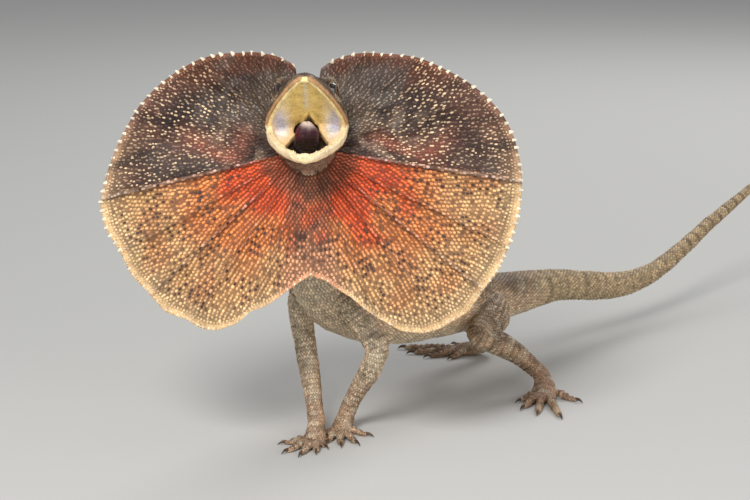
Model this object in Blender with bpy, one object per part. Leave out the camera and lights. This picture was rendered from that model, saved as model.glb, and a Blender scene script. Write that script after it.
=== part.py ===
# Frilled lizard at life size, standing with its frill spread and its mouth wide open.
# Lengths are millimetres and MM turns them into metres. The head looks along -Y, the
# body goes back to +X and +Y, and the soles rest on the floor at Z = 0.

import math
import random

import bmesh
import bpy
import numpy as np

MM = 0.001
GAP = 0.3  # clearance between neighbouring pieces
SEED = 11

# Body, from inside the head to the tip of the tail: x, y, z, half width, half height
BODY = [
    (-2.0, -4.0, 199.0, 16.0, 14.0),
    (-2.0, 9.0, 186.0, 18.5, 17.0),
    (-1.0, 24.0, 162.0, 16.5, 17.5),
    (0.0, 35.0, 135.0, 17.0, 19.0),
    (3.0, 46.0, 109.0, 19.5, 21.0),
    (11.0, 60.0, 87.0, 22.0, 22.5),
    (28.0, 80.0, 72.0, 23.5, 22.5),
    (49.0, 104.0, 64.0, 24.0, 23.0),
    (73.0, 130.0, 60.0, 22.5, 22.0),
    (96.0, 151.0, 57.0, 19.0, 19.5),
    (117.0, 170.0, 55.0, 15.5, 16.5),
    (140.0, 195.0, 54.0, 13.5, 13.5),
    (167.0, 230.0, 50.5, 10.5, 10.4),
    (188.0, 255.0, 44.5, 9.8, 9.8),
    (210.0, 282.0, 38.0, 9.2, 9.2),
    (232.0, 310.0, 35.5, 7.7, 7.6),
    (248.0, 330.0, 37.5, 6.6, 6.5),
    (264.0, 350.0, 43.0, 5.8, 5.7),
    (284.5, 378.0, 52.5, 5.0, 4.9),
    (301.0, 400.0, 61.0, 4.4, 4.3),
    (321.5, 425.0, 70.5, 3.7, 3.6),
    (341.0, 450.0, 79.5, 3.0, 2.9),
    (368.0, 485.0, 90.0, 2.3, 2.3),
    (392.0, 520.0, 97.0, 1.7, 1.7),
    (411.0, 552.0, 101.0, 1.2, 1.2),
    (424.0, 577.0, 102.0, 0.7, 0.7),
]
# Lengths of the body: node name, first row, last row, stations
BODY_LENGTHS = [
    ("neck_top", 0, 2, 8),
    ("neck_base", 2, 4, 8),
    ("chest", 4, 6, 8),
    ("belly", 6, 8, 8),
    ("loin", 8, 10, 8),
    ("tail_root", 10, 12, 8),
    ("tail_second", 12, 14, 7),
    ("tail_third", 14, 17, 8),
    ("tail_fourth", 17, 20, 7),
    ("tail_tip", 20, 25, 12),
]
BODY_SIDES = 20
TAIL_SIDES = 14

# Limbs: node name, then rows of x, y, z, half width, half height
LIMBS = [
    (
        "right_upper_arm",
        [(4, 54, 96, 9, 9), (-6, 60, 86, 9.5, 9), (-9, 62, 71, 7.6, 7.6), (-7, 61, 54, 6.6, 7)],
    ),
    (
        "right_forearm",
        [(-7, 61, 54, 6.6, 7), (-4, 53, 38, 6.3, 6.6), (-0.5, 38, 20, 5.0, 5.0), (1.5, 27, 11, 5, 4.4)],
    ),
    (
        "left_upper_arm",
        [(8, 52, 95, 9, 9), (18, 42, 86, 9.3, 9), (31, 35, 70, 7.6, 7.6), (40, 30, 56, 6.6, 7)],
    ),
    (
        "left_forearm",
        [(40, 30, 56, 6.6, 7), (34, 35, 40, 6.3, 6.6), (24, 42, 21, 5, 5), (20, 44, 11, 5, 4.4)],
    ),
    (
        "left_thigh",
        [(108, 160, 55, 11, 11), (117, 145, 52, 11.5, 11), (113, 129, 47, 10, 9.5), (105, 117, 42, 8, 8)],
    ),
    (
        "left_shin",
        [(105, 117, 42, 8, 8), (123, 122, 34, 7.8, 7.6), (140, 130, 20, 5.4, 5.4), (149, 134, 11, 5, 5)],
    ),
    (
        "right_thigh",
        [(108, 160, 55, 11, 11), (98, 173, 53, 11.5, 11), (93, 184, 49, 10, 9.5), (90, 194, 44, 8, 8)],
    ),
    (
        "right_shin",
        [(90, 194, 44, 8, 8), (99, 205, 34, 7.8, 7.6), (112, 217, 19, 5.4, 5.4), (118, 222, 11, 5, 5)],
    ),
]
LIMB_SIDES = 14
LIMB_STATIONS = 9

# Hands and feet: node name, rows of the palm, then five digits of
# x and y of the root, heading in degrees from -Y towards +X, length, thickness
FEET = [
    (
        "right_hand",
        [(1.5, 27, 11, 5, 4.4), (1.2, 21, 7, 5.6, 4.8), (0.4, 15, 3.5, 6.6, 4), (-0.8, 9, 2.1, 5.8, 2.6)],
        [
            (3.4, 15, 22, 10, 1.8),
            (1.8, 10, 0, 15, 2.0),
            (-0.8, 9, -18, 20, 2.1),
            (-3.4, 10, -40, 19, 2.0),
            (-4.6, 15, -76, 13, 1.9),
        ],
    ),
    (
        "left_hand",
        [(20, 44, 11, 5, 4.4), (18.6, 40, 7, 5.6, 4.8), (16.6, 35, 3.5, 6.6, 4), (15.4, 29, 2.1, 5.8, 2.6)],
        [
            (12.0, 35, -34, 10, 1.8),
            (12.8, 30, -16, 15, 2.0),
            (15.2, 29, 4, 20, 2.1),
            (17.6, 30, 26, 19, 2.0),
            (20.4, 35, 64, 13, 1.9),
        ],
    ),
    (
        "left_foot",
        [(149, 134, 11, 5, 5), (150, 127, 7, 6.4, 5.2), (149, 115, 3.7, 8, 4.2), (148, 104, 2.3, 7.4, 2.8)],
        [
            (143, 113, -52, 12, 2.0),
            (143.5, 106, -30, 19, 2.2),
            (147, 104, -10, 27, 2.3),
            (151, 105, 8, 36, 2.4),
            (155, 119, 48, 20, 2.1),
        ],
    ),
    (
        "right_foot",
        [(118, 222, 11, 5, 5), (113, 226, 7, 6.4, 5.2), (103, 229, 3.7, 8, 4.2), (93, 230, 2.3, 7.4, 2.8)],
        [
            (100, 223, -42, 12, 2.0),
            (94, 225, -68, 19, 2.2),
            (92, 229, -88, 27, 2.3),
            (94, 233, -104, 36, 2.4),
            (108, 235, -142, 20, 2.1),
        ],
    ),
]
PALM_SIDES = 12
DIGIT_SIDES = 5
KNUCKLE_RISE = 2.2
CLAW_LENGTH = 5.5
PAD_SUNK = 0.4  # how far the pads are pressed flat by the floor

# Head: the corner of the mouth, and how far each jaw is turned from the level
JAW_JOINT = np.array([-2.2, -8.0, 199.2])
UPPER_PITCH = 42.0
LOWER_PITCH = -12.0
# Stations of the upper half: distance along, half width, height, depth below the lip line
SKULL = [
    (-15.0, 12.0, 12.0, 4.0),
    (-13.0, 17.0, 16.0, 6.5),
    (-8.0, 21.5, 19.5, 8.0),
    (-2.0, 24.0, 21.0, 6.0),
    (5.0, 24.0, 20.0, 2.4),
    (12.0, 22.5, 19.3, 1.5),
    (19.0, 20.0, 18.6, 1.2),
    (25.0, 17.8, 17.2, 1.2),
    (31.0, 15.0, 13.0, 1.2),
    (37.0, 12.2, 10.2, 1.4),
    (43.0, 8.8, 8.0, 1.5),
    (47.5, 6.0, 5.8, 1.4),
    (50.0, 3.0, 3.4, 0.8),
]
# Stations of the lower jaw: distance along, half width, height, depth below the lip line
JAW = [
    (-13.0, 13.0, 1.5, 10.0),
    (-9.0, 19.0, 2.0, 13.5),
    (-2.0, 23.0, 1.6, 14.5),
    (6.0, 23.2, 1.3, 14.2),
    (14.0, 22.0, 1.2, 12.2),
    (22.0, 19.6, 1.2, 10.4),
    (30.0, 16.2, 1.2, 8.4),
    (37.0, 12.2, 1.3, 6.8),
    (43.0, 7.6, 1.3, 5.2),
    (46.5, 3.2, 0.9, 3.4),
]
DOME_REACH = 0.55  # how far the end of a rounded tube stands out, as a share of its radius
DOME_WIDTH = 0.45  # radius at that end, as a share
HEAD_SIDES = 22
HEAD_STATIONS = 13
LIP = 3.2  # thickness of the lips
PALATE_DEPTH = 4.4
FLOOR_DEPTH = 5.2
EYE_ALONG = 23.5
EYE_UP = 10.6
EYE_OUT = 12.6
EYE_RADIUS = 5.3
LID_RADIUS = 5.0
LID_THICKNESS = 1.3
LID_PARTS = 14
EAR_ALONG = -5.0
EAR_UP = 7.0
EAR_RADIUS = 4.0
EAR_DEPTH = 2.4
NOSTRIL_ALONG = 43.0
NOSTRIL_UP = 4.8
NOSTRIL_RADIUS = 1.1
THROAT_CENTRE = (-2.2, 2.0, 194.0)
THROAT_RADII = (9.5, 19.0, 8.5)
THROAT_PITCH = -12.0
NOSTRIL_DEPTH = 1.4
SNOUT_NARROWING = 0.8  # the nostrils lie this share of the lip's half width out
TOOTH_HEIGHT = 1.7
TOOTH_WIDTH = 1.7
TOOTH_SUNK = 0.8
TOOTH_ROOT_UP = 0.4  # height of the gum over the edge of the jaw
# Rows of teeth: first and last distance along, count on a side, distance in from the lip's edge
UPPER_TEETH = (10.0, 44.0, 10, LIP + 0.2)
LOWER_TEETH = (9.0, 41.0, 9, LIP - 0.4)
MOUTH_OPENING = 8.0  # how far the room inside the lips is cleared on its open side
# Brow ridge: distance along, out, up, radius
BROW = [
    (41.0, 6.6, 5.8, 1.1),
    (34.0, 10.8, 9.8, 1.6),
    (26.0, 14.4, 15.0, 2.3),
    (17.0, 16.0, 16.2, 2.2),
    (9.0, 17.6, 14.6, 1.3),
]
# Pad that roofs the socket between the brow ridge and the crown, as above
BROW_PAD = [
    (33.0, 9.4, 9.3, 1.4),
    (28.0, 10.8, 12.9, 2.5),
    (23.5, 11.0, 14.5, 2.9),
    (18.0, 11.6, 14.2, 2.1),
]
# Tongue: distance along the jaw, height of its middle, half width, half height
TONGUE = [
    (-2.0, -1.0, 5.0, 4.0),
    (4.0, -1.4, 6.6, 5.2),
    (11.0, -2.6, 7.4, 4.6),
    (19.0, -4.2, 6.8, 3.2),
    (26.0, -4.8, 5.2, 2.0),
    (31.0, -5.0, 3.0, 1.3),
]

# Frill: its middle, how far its disc leans back, and its outline as
# degrees from straight down towards +X with the reach in millimetres
FRILL_MIDDLE = np.array([-1.8, 3.0, 185.5])
FRILL_LEAN = 12.0
FRILL_EDGE = [
    (-173, 45.6), (-168, 52.4), (-161, 57.8), (-154, 63.1), (-144, 70.3), (-135, 78.7),
    (-125, 86.7), (-115, 94.8), (-106, 101.7), (-95, 109.8), (-86, 117.6), (-79, 123.7),
    (-75, 127.7), (-68, 129.7), (-61, 127.4), (-54, 129.6), (-48, 128.0), (-41, 129.5),
    (-35, 125.0), (-31, 125.2), (-27, 122.4), (-22, 113.0), (-19, 102.4), (-16, 99.5),
    (-9, 87.3), (-4, 80.5), (1, 76.2), (8, 80.5), (12, 86.5), (16, 92.8), (20, 103.7),
    (24, 113.8), (27, 122.7), (32, 130.4), (36, 133.3), (39, 134.0), (44, 136.7),
    (51, 134.2), (57, 134.8), (63, 133.2), (72, 131.7), (79, 129.5), (86, 126.5),
    (93, 122.7), (99, 118.0), (105, 111.4), (112, 103.3), (120, 93.9), (129, 85.0),
    (141, 72.4), (154, 62.3), (164, 54.6), (171, 48.2), (173, 46.1),
]
# Rays of the frill: degrees, height of the ridge in millimetres
RAYS = [
    (-150, 0.5), (-128, 0.5), (-104, 0.6), (-76, 0.8), (-61, 0.7), (-47, 1.1), (-34, 0.7),
    (-18, 0.9), (22, 0.9), (38, 0.7), (51, 1.1), (64, 0.7), (81, 0.8), (106, 0.6),
    (129, 0.5), (150, 0.5),
]
FRILL_PIECES = [
    ("frill_right_top", -171, -104),
    ("frill_right_side", -104, -47),
    ("frill_right_low", -47, 0),
    ("frill_left_low", 0, 51),
    ("frill_left_side", 51, 106),
    ("frill_left_top", 106, 171),
]
FRILL_FIT = 0.985  # the rim stands nearer than the root, so its reach is a little less
FRILL_ROOT = 9.0
FRILL_DISH = 13.0  # how far the rim comes forward of the root
FRILL_PLEAT = 3.0  # how far the panels stand back between the rays
FRILL_THICK_ROOT = 1.6
FRILL_THICK_RIM = 1.0
FRILL_STEP = 5.0
FRILL_RINGS = [0.0, 0.18, 0.38, 0.58, 0.78, 0.93, 1.0]
RIDGE_HALF_WIDTH = 1.3
SPINE_STEP = 4.4
SPINE_LENGTH = 2.0
SPINE_WIDTH = 2.6
SPINE_SUNK = 1.0
SPINE_FROM = 62  # degrees from straight down at which the large edge scales begin

# Material: name, colour, roughness
LOOKS = {
    "hide": ((0.30, 0.24, 0.17), 0.62),
    "tail_hide": ((0.36, 0.29, 0.18), 0.62),
    "limb_hide": ((0.29, 0.21, 0.15), 0.62),
    "head_hide": ((0.27, 0.22, 0.18), 0.60),
    "jaw_hide": ((0.72, 0.48, 0.27), 0.50),
    "frill_dark": ((0.26, 0.16, 0.12), 0.60),
    "frill_side": ((0.62, 0.38, 0.24), 0.60),
    "frill_orange": ((0.70, 0.26, 0.11), 0.60),
    "tongue_flesh": ((0.42, 0.34, 0.44), 0.35),
    "eye_dark": ((0.02, 0.014, 0.010), 0.12),
}


def clear_scene():
    for thing in list(bpy.data.objects):
        bpy.data.objects.remove(thing, do_unlink=True)


def new_collection(name):
    made = bpy.data.collections.new(name)
    bpy.context.scene.collection.children.link(made)
    return made


clear_scene()
PARTS = new_collection("frilled_lizard")
CUTTERS = new_collection("cutters")


def material(name):
    made = bpy.data.materials.get(name) or bpy.data.materials.new(name)
    colour, roughness = LOOKS[name]
    made.use_nodes = True
    shader = made.node_tree.nodes["Principled BSDF"]
    shader.inputs["Base Color"].default_value = (*colour, 1.0)
    shader.inputs["Roughness"].default_value = roughness
    shader.inputs["Metallic"].default_value = 0.0
    made.diffuse_color = (*colour, 1.0)
    return made


def make_object(name, mesh_data, collection):
    bmesh.ops.recalc_face_normals(mesh_data, faces=mesh_data.faces)
    mesh = bpy.data.meshes.new(name)
    mesh_data.to_mesh(mesh)
    mesh_data.free()
    made = bpy.data.objects.new(name, mesh)
    collection.objects.link(made)
    if collection is CUTTERS:
        made.hide_render = True
        made.display_type = "WIRE"
    return made


def eased(keys, marks, at):
    """Smooth values through keys set at marks, read at other marks."""
    keys = np.asarray(keys, float)
    slope = np.gradient(keys, marks, axis=0)
    place = np.clip(np.searchsorted(marks, at, side="right") - 1, 0, len(marks) - 2)
    span = (marks[place + 1] - marks[place])[:, None]
    part = ((at - marks[place]) / span[:, 0])[:, None]
    first = (2 * part**3 - 3 * part**2 + 1) * keys[place]
    second = (part**3 - 2 * part**2 + part) * span * slope[place]
    third = (-2 * part**3 + 3 * part**2) * keys[place + 1]
    fourth = (part**3 - part**2) * span * slope[place + 1]
    return first + second + third + fourth


def chord_marks(keys):
    steps = np.linalg.norm(np.diff(np.asarray(keys, float)[:, :3], axis=0), axis=1)
    return np.concatenate([[0.0], np.cumsum(steps)])


def stations(keys, first, last, count, trim=0.0):
    """Rows between two keys, with both ends drawn in by trim."""
    marks = chord_marks(keys)
    at = np.linspace(marks[first] + trim, marks[last] - trim, count)
    ahead = eased(keys, marks, np.minimum(at + 0.5, marks[-1]))[:, :3]
    behind = eased(keys, marks, np.maximum(at - 0.5, 0.0))[:, :3]
    run = ahead - behind
    return eased(keys, marks, at), run / np.linalg.norm(run, axis=1)[:, None]


def frame_of(run, guide):
    side = np.cross(run, guide)
    side /= np.linalg.norm(side)
    return side, np.cross(side, run)


def loft(name, rings, collection):
    """One closed solid through rings of points, with flat ends."""
    data = bmesh.new()
    loops = [[data.verts.new(point * MM) for point in ring] for ring in rings]
    count = len(loops[0])
    for near, far in zip(loops, loops[1:]):
        for i in range(count):
            after = (i + 1) % count
            data.faces.new((near[i], near[after], far[after], far[i]))
    data.faces.new(loops[0])
    data.faces.new(loops[-1])
    return make_object(name, data, collection)


def tube(name, keys, first, last, count, sides, guide, collection, trim=0.0, grow=0.0):
    rows, runs = stations(keys, first, last, count, trim)
    turns = np.linspace(0, 2 * math.pi, sides, endpoint=False)
    rings = []
    for row, run in zip(rows, runs):
        side, top = frame_of(run, np.array(guide, float))
        wide = (row[3] + grow) * np.cos(turns)[:, None] * side
        high = (row[4] + grow) * np.sin(turns)[:, None] * top
        rings.append(row[:3] + wide + high)
    return loft(name, rings, collection)


def rounded_tube(name, keys, count, sides, guide, collection, grow=0.0):
    """A tube whose two ends close over in a short dome."""
    keys = np.asarray(keys, float)
    rows, runs = stations(keys, 0, len(keys) - 1, count)
    start = rows[0].copy()
    start[:3] -= runs[0] * rows[0][4] * DOME_REACH
    start[3:] *= DOME_WIDTH
    end = rows[-1].copy()
    end[:3] += runs[-1] * rows[-1][4] * DOME_REACH
    end[3:] *= DOME_WIDTH
    rows = np.vstack([start, rows, end])
    runs = np.vstack([runs[0], runs, runs[-1]])
    turns = np.linspace(0, 2 * math.pi, sides, endpoint=False)
    rings = []
    for row, run in zip(rows, runs):
        side, top = frame_of(run, np.array(guide, float))
        wide = (row[3] + grow) * np.cos(turns)[:, None] * side
        high = (row[4] + grow) * np.sin(turns)[:, None] * top
        rings.append(row[:3] + wide + high)
    return loft(name, rings, collection)


def bake_modifiers(made):
    graph = bpy.context.evaluated_depsgraph_get()
    mesh = bpy.data.meshes.new_from_object(made.evaluated_get(graph))
    made.modifiers.clear()
    made.data = mesh


def keep_largest(made):
    data = bmesh.new()
    data.from_mesh(made.data)
    bmesh.ops.remove_doubles(data, verts=data.verts, dist=0.000001)
    left = set(data.verts)
    groups = []
    while left:
        todo = [left.pop()]
        group = set(todo)
        while todo:
            for edge in todo.pop().link_edges:
                for vert in edge.verts:
                    if vert in left:
                        left.discard(vert)
                        group.add(vert)
                        todo.append(vert)
        groups.append(group)
    largest = max(groups, key=len)
    loose = [vert for vert in data.verts if vert not in largest]
    bmesh.ops.delete(data, geom=loose, context="VERTS")
    data.to_mesh(made.data)
    data.free()


def combine(made, others, operation, solver="MANIFOLD"):
    """One Boolean with a collection of closed solids, applied, and the solids removed."""
    group = bpy.data.collections.new("group")
    bpy.context.scene.collection.children.link(group)
    for other in others:
        group.objects.link(other)
    change = made.modifiers.new("join", "BOOLEAN")
    change.operation = operation
    change.solver = solver
    change.operand_type = "COLLECTION"
    change.collection = group
    bake_modifiers(made)
    for other in others:
        bpy.data.objects.remove(other, do_unlink=True)
    bpy.data.collections.remove(group)
    keep_largest(made)


def cut(made, others, solver="MANIFOLD"):
    """Takes each other solid away in turn."""
    for other in others:
        change = made.modifiers.new("cut", "BOOLEAN")
        change.operation = "DIFFERENCE"
        change.solver = solver
        change.object = other
        bake_modifiers(made)
        bpy.data.objects.remove(other, do_unlink=True)
    keep_largest(made)


def finish(made, look, sharp=35.0):
    made.data.materials.clear()
    made.data.materials.append(material(look))
    made.data.shade_smooth()
    made.data.set_sharp_from_angle(angle=math.radians(sharp))


def ball(name, centre, radii, pitch, collection, segments=20, rings=12):
    data = bmesh.new()
    bmesh.ops.create_uvsphere(data, u_segments=segments, v_segments=rings, radius=1.0)
    turn = math.radians(pitch)
    for vert in data.verts:
        x, y, z = (vert.co[i] * radii[i] for i in range(3))
        far = y * math.cos(turn) - z * math.sin(turn)
        high = y * math.sin(turn) + z * math.cos(turn)
        vert.co = ((centre[0] + x) * MM, (centre[1] + far) * MM, (centre[2] + high) * MM)
    return make_object(name, data, collection)


# Body and tail
def body_piece(name, first, last, count, collection, trim=0.0, grow=0.0):
    sides = BODY_SIDES if first < 10 else TAIL_SIDES
    return tube(name, BODY, first, last, count, sides, (0, 0, 1), collection, trim, grow)


def build_body():
    pieces = {}
    for name, first, last, count in BODY_LENGTHS:
        pieces[name] = body_piece(name, first, last, count, PARTS, trim=GAP / 2)
        finish(pieces[name], "tail_hide" if name.startswith("tail") else "hide")
    return pieces


def body_copy(first, last, grow=GAP):
    return body_piece("body_copy", first, last, 4 * (last - first) + 1, CUTTERS, 0.0, grow)


# Limbs and feet
def limb_guide(rows):
    run = np.subtract(rows[-1][:3], rows[0][:3])
    steep = abs(run[2]) > 0.8 * np.linalg.norm(run)
    return (0, 1, 0) if steep else (0, 0, 1)


def limb_tube(name, rows, collection, grow=0.0):
    return rounded_tube(name, rows, LIMB_STATIONS, LIMB_SIDES, limb_guide(rows), collection, grow)


def build_limb(name, rows, above):
    """One length of a limb, cut where it meets the body or the length above it."""
    made = limb_tube(name, rows, PARTS)
    if above:
        cut(made, [limb_tube("limb_copy", above, CUTTERS, GAP)])
    elif "arm" in name:
        cut(made, [body_copy(3, 6)])
    else:
        cut(made, [body_copy(8, 11)])
    finish(made, "limb_hide")
    return made


def digit(root_x, root_y, heading, length, thick):
    """A toe or finger with its claw, bent at the knuckle and lying on the floor."""
    turn = math.radians(heading)
    along = np.array([math.sin(turn), -math.cos(turn)])
    shape = [
        (-4.0, 2.8, thick),
        (0.20 * length, 1.0 + KNUCKLE_RISE, thick),
        (0.45 * length, 0.8 + KNUCKLE_RISE, thick * 1.08),
        (0.70 * length, thick * 0.88 - PAD_SUNK, thick * 0.88),
        (0.88 * length, thick * 0.92 - PAD_SUNK, thick * 0.92),
        (length, thick * 0.66, thick * 0.66),
        (length + 0.4 * CLAW_LENGTH, 2.1, 0.8),
        (length + CLAW_LENGTH, 0.5, 0.16),
    ]
    rows = [(root_x + s * along[0], root_y + s * along[1], z, r, r) for s, z, r in shape]
    return tube("digit", rows, 0, len(rows) - 1, 9, DIGIT_SIDES, (0, 0, 1), CUTTERS)


def floor_block():
    data = bmesh.new()
    bmesh.ops.create_cube(data, size=1.0)
    for vert in data.verts:
        vert.co = (vert.co.x, vert.co.y, (vert.co.z - 0.5) * 0.1)
    return make_object("floor_block", data, CUTTERS)


def build_foot(name, palm, digits, above):
    made = rounded_tube(name, palm, 6, PALM_SIDES, (0, 0, 1), PARTS)
    combine(made, [digit(*row) for row in digits], "UNION")
    cut(made, [floor_block(), limb_tube("limb_copy", above, CUTTERS, GAP)])
    finish(made, "limb_hide")
    return made


# Head
def head_place(pitch, along, out, up):
    """A point given along a jaw, out to the side and up from the line of the lips."""
    turn = math.radians(pitch)
    forward = np.array([0.0, -math.cos(turn), math.sin(turn)])
    above = np.array([0.0, math.sin(turn), math.cos(turn)])
    return JAW_JOINT + along * forward + np.array([out, 0.0, 0.0]) + up * above


def head_loft(name, shape, pitch, collection, grow=0.0, power=0.8):
    turns = np.linspace(0, 2 * math.pi, HEAD_SIDES, endpoint=False)
    shape = np.asarray(shape, float)
    marks = shape[:, 0]
    at = np.linspace(marks[0], marks[-1], HEAD_STATIONS)
    at = np.sort(np.append(at, [marks[1], marks[-2]]))
    rows = np.column_stack([at, eased(shape[:, 1:], marks, at)])
    rows[0, 0] -= grow
    rows[-1, 0] += grow
    rings = []
    for along, wide, high, low in rows:
        ring = []
        for turn in turns:
            across, rise = math.cos(turn), math.sin(turn)
            reach = high + grow if rise > 0 else low + grow
            out = (wide + grow) * math.copysign(abs(across) ** power, across)
            ring.append(head_place(pitch, along, out, reach * math.copysign(abs(rise) ** 0.9, rise)))
        rings.append(ring)
    return loft(name, rings, collection)


def hollow(name, shape, pitch, depth, sign, grow=0.0):
    """The room inside the lips of one jaw, as a solid to take away."""
    rows = []
    for along, wide, _, _ in shape:
        inner = wide - LIP - grow
        if along > -8.0 and inner > 0.6:
            rows.append((along, inner))
    rows.append((rows[-1][0] + 1.2, rows[-1][1] * 0.5))
    turns = np.linspace(0, 2 * math.pi, 12, endpoint=False)
    rings = []
    for along, inner in rows:
        fall = min(1.0, 0.35 + inner / 12.0) * (depth - grow)
        ring = []
        for turn in turns:
            rise = math.sin(turn) * sign
            reach = fall if rise > 0 else MOUTH_OPENING
            out = inner * math.copysign(abs(math.cos(turn)) ** 0.6, math.cos(turn))
            ring.append(head_place(pitch, along, out, sign * reach * rise))
        rings.append(ring)
    return loft(name, rings, CUTTERS)


def lip_width(shape, along):
    table = np.asarray(shape, float)
    return float(np.interp(along, table[:, 0], table[:, 1]))


def teeth(shape, pitch, row, sign):
    """Two rows of small pointed teeth just inside the lips, roots sunk."""
    start, end, count, inset = row
    dice = random.Random(SEED)
    made = []
    for side in (-1, 1):
        for along in np.linspace(start, end, count):
            tall = TOOTH_HEIGHT * dice.uniform(0.8, 1.15)
            out = side * (lip_width(shape, along) - inset)
            root = head_place(pitch, along, out, TOOTH_ROOT_UP - sign * TOOTH_SUNK)
            tip = head_place(pitch, along, out, TOOTH_ROOT_UP + sign * tall)
            made.append(spike("tooth", root, tip, TOOTH_WIDTH, TOOTH_WIDTH * 0.7))
    return made


def spike(name, root, tip, wide, thick, flat=(0.0, 1.0, 0.0)):
    """A four-sided point from a root to a tip, thinner across the flat direction."""
    run = tip - root
    run = run / np.linalg.norm(run)
    side = np.cross(run, np.array(flat, float))
    side /= np.linalg.norm(side)
    other = np.cross(side, run)
    near = [
        root + side * wide / 2,
        root + other * thick / 2,
        root - side * wide / 2,
        root - other * thick / 2,
    ]
    data = bmesh.new()
    corners = [data.verts.new(point * MM) for point in near]
    peak = data.verts.new(tip * MM)
    for i in range(4):
        data.faces.new((corners[i], corners[(i + 1) % 4], peak))
    data.faces.new(corners)
    return make_object(name, data, CUTTERS)


def lid_ring(side):
    """The raised rim of both lids round one eye."""
    centre = head_place(UPPER_PITCH, EYE_ALONG, side * (EYE_OUT + 2.6), EYE_UP)
    ahead = head_place(UPPER_PITCH, 1.0, 0.0, 0.0) - JAW_JOINT
    above = head_place(UPPER_PITCH, 0.0, 0.0, 1.0) - JAW_JOINT
    out = np.array([side, 0.0, 0.0])
    data = bmesh.new()
    loops = []
    for i in range(LID_PARTS):
        turn = 2 * math.pi * i / LID_PARTS
        spoke = math.cos(turn) * ahead + 0.82 * math.sin(turn) * above
        middle = centre + LID_RADIUS * spoke
        loop = []
        for j in range(5):
            angle = 2 * math.pi * j / 5
            reach = LID_THICKNESS * (math.cos(angle) * spoke + math.sin(angle) * out)
            loop.append(data.verts.new((middle + reach) * MM))
        loops.append(loop)
    for i in range(LID_PARTS):
        near, far = loops[i], loops[(i + 1) % LID_PARTS]
        for j in range(5):
            after = (j + 1) % 5
            data.faces.new((near[j], near[after], far[after], far[j]))
    return make_object("lid_ring", data, CUTTERS)


def ridge(name, table, side):
    """A round ridge along the top of the head on one side, such as the one over the eye."""
    rows = [(*head_place(UPPER_PITCH, s, side * out, up), r, r) for s, out, up, r in table]
    return rounded_tube(name, rows, 8, 8, (1, 0, 0), CUTTERS)


def throat():
    return ball("throat", THROAT_CENTRE, THROAT_RADII, THROAT_PITCH, CUTTERS, 18, 12)


def eye_ball(name, side, collection, grow=0.0):
    centre = head_place(UPPER_PITCH, EYE_ALONG, side * EYE_OUT, EYE_UP)
    reach = EYE_RADIUS + grow
    return ball(name, centre, (reach, reach, reach), 0.0, collection, 14, 8)


def side_drill(along, up, out, radius, depth, side, sides=14):
    """A round recess sunk into the side of the head."""
    rows = []
    for far in (out - depth, out + 6.0):
        rows.append((*head_place(UPPER_PITCH, along, side * far, up), radius, radius))
    return tube("side_drill", rows, 0, 1, 2, sides, (0, 0, 1), CUTTERS)


def build_head():
    skull = head_loft("cranium", SKULL, UPPER_PITCH, PARTS)
    ridges = [ridge("brow", BROW, side) for side in (-1, 1)]
    ridges += [ridge("brow_pad", BROW_PAD, side) for side in (-1, 1)]
    ridges += [lid_ring(side) for side in (-1, 1)]
    combine(skull, ridges, "UNION")
    cut(skull, [hollow("palate", SKULL, UPPER_PITCH, PALATE_DEPTH, 1.0), throat()])
    combine(skull, teeth(SKULL, UPPER_PITCH, UPPER_TEETH, -1.0), "UNION")
    ear = (EAR_ALONG, EAR_UP, lip_width(SKULL, EAR_ALONG), EAR_RADIUS, EAR_DEPTH)
    snout = lip_width(SKULL, NOSTRIL_ALONG) * SNOUT_NARROWING
    nostril = (NOSTRIL_ALONG, NOSTRIL_UP, snout, NOSTRIL_RADIUS, NOSTRIL_DEPTH)
    recesses = []
    for side in (-1, 1):
        recesses.append(eye_ball("socket", side, CUTTERS, GAP))
        recesses.append(side_drill(*ear, side))
        recesses.append(side_drill(*nostril, side, 8))
    cut(skull, recesses)
    finish(skull, "head_hide")

    jaw = head_loft("lower_jaw", JAW, LOWER_PITCH, PARTS)
    cut(jaw, [hollow("mouth_floor", JAW, LOWER_PITCH, FLOOR_DEPTH, -1.0), throat()])
    combine(jaw, teeth(JAW, LOWER_PITCH, LOWER_TEETH, 1.0), "UNION")
    cut(jaw, [head_loft("skull_copy", SKULL, UPPER_PITCH, CUTTERS, GAP)])
    finish(jaw, "jaw_hide")

    for name, side in (("eye_right", -1), ("eye_left", 1)):
        finish(eye_ball(name, side, PARTS), "eye_dark", 60.0)


def build_tongue():
    rows = []
    for along, up, wide, high in TONGUE:
        place = head_place(LOWER_PITCH, along, 0.0, up)
        rows.append((*place, wide, high))
    tongue = rounded_tube("tongue", rows, 9, 14, (0, 0, 1), PARTS)
    jaw = head_loft("jaw_copy", JAW, LOWER_PITCH, CUTTERS, GAP)
    cut(jaw, [hollow("floor_copy", JAW, LOWER_PITCH, FLOOR_DEPTH, -1.0, GAP)])
    cut(tongue, [jaw, head_loft("skull_copy", SKULL, UPPER_PITCH, CUTTERS, GAP)])
    finish(tongue, "tongue_flesh")


def neck_cutters():
    return [
        head_loft("skull_copy", SKULL, UPPER_PITCH, CUTTERS, GAP),
        head_loft("jaw_copy", JAW, LOWER_PITCH, CUTTERS, GAP),
    ]


# Frill
def frill_reach(degrees):
    table = np.asarray(FRILL_EDGE, float)
    return FRILL_FIT * np.interp(degrees, table[:, 0], table[:, 1])


def ray_share(degrees):
    """1 on a ray and 0 midway between two rays."""
    places = np.array([ray for ray, _ in RAYS], float)
    after = int(np.searchsorted(places, degrees))
    if after == 0 or after == len(places):
        return 1.0
    span = places[after] - places[after - 1]
    part = (degrees - places[after - 1]) / span
    return 1.0 - math.sin(math.pi * part)


def frill_axes():
    lean = math.radians(FRILL_LEAN)
    across = np.array([1.0, 0.0, 0.0])
    upward = np.array([0.0, math.sin(lean), math.cos(lean)])
    forward = np.array([0.0, -math.cos(lean), math.sin(lean)])
    return across, upward, forward


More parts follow.
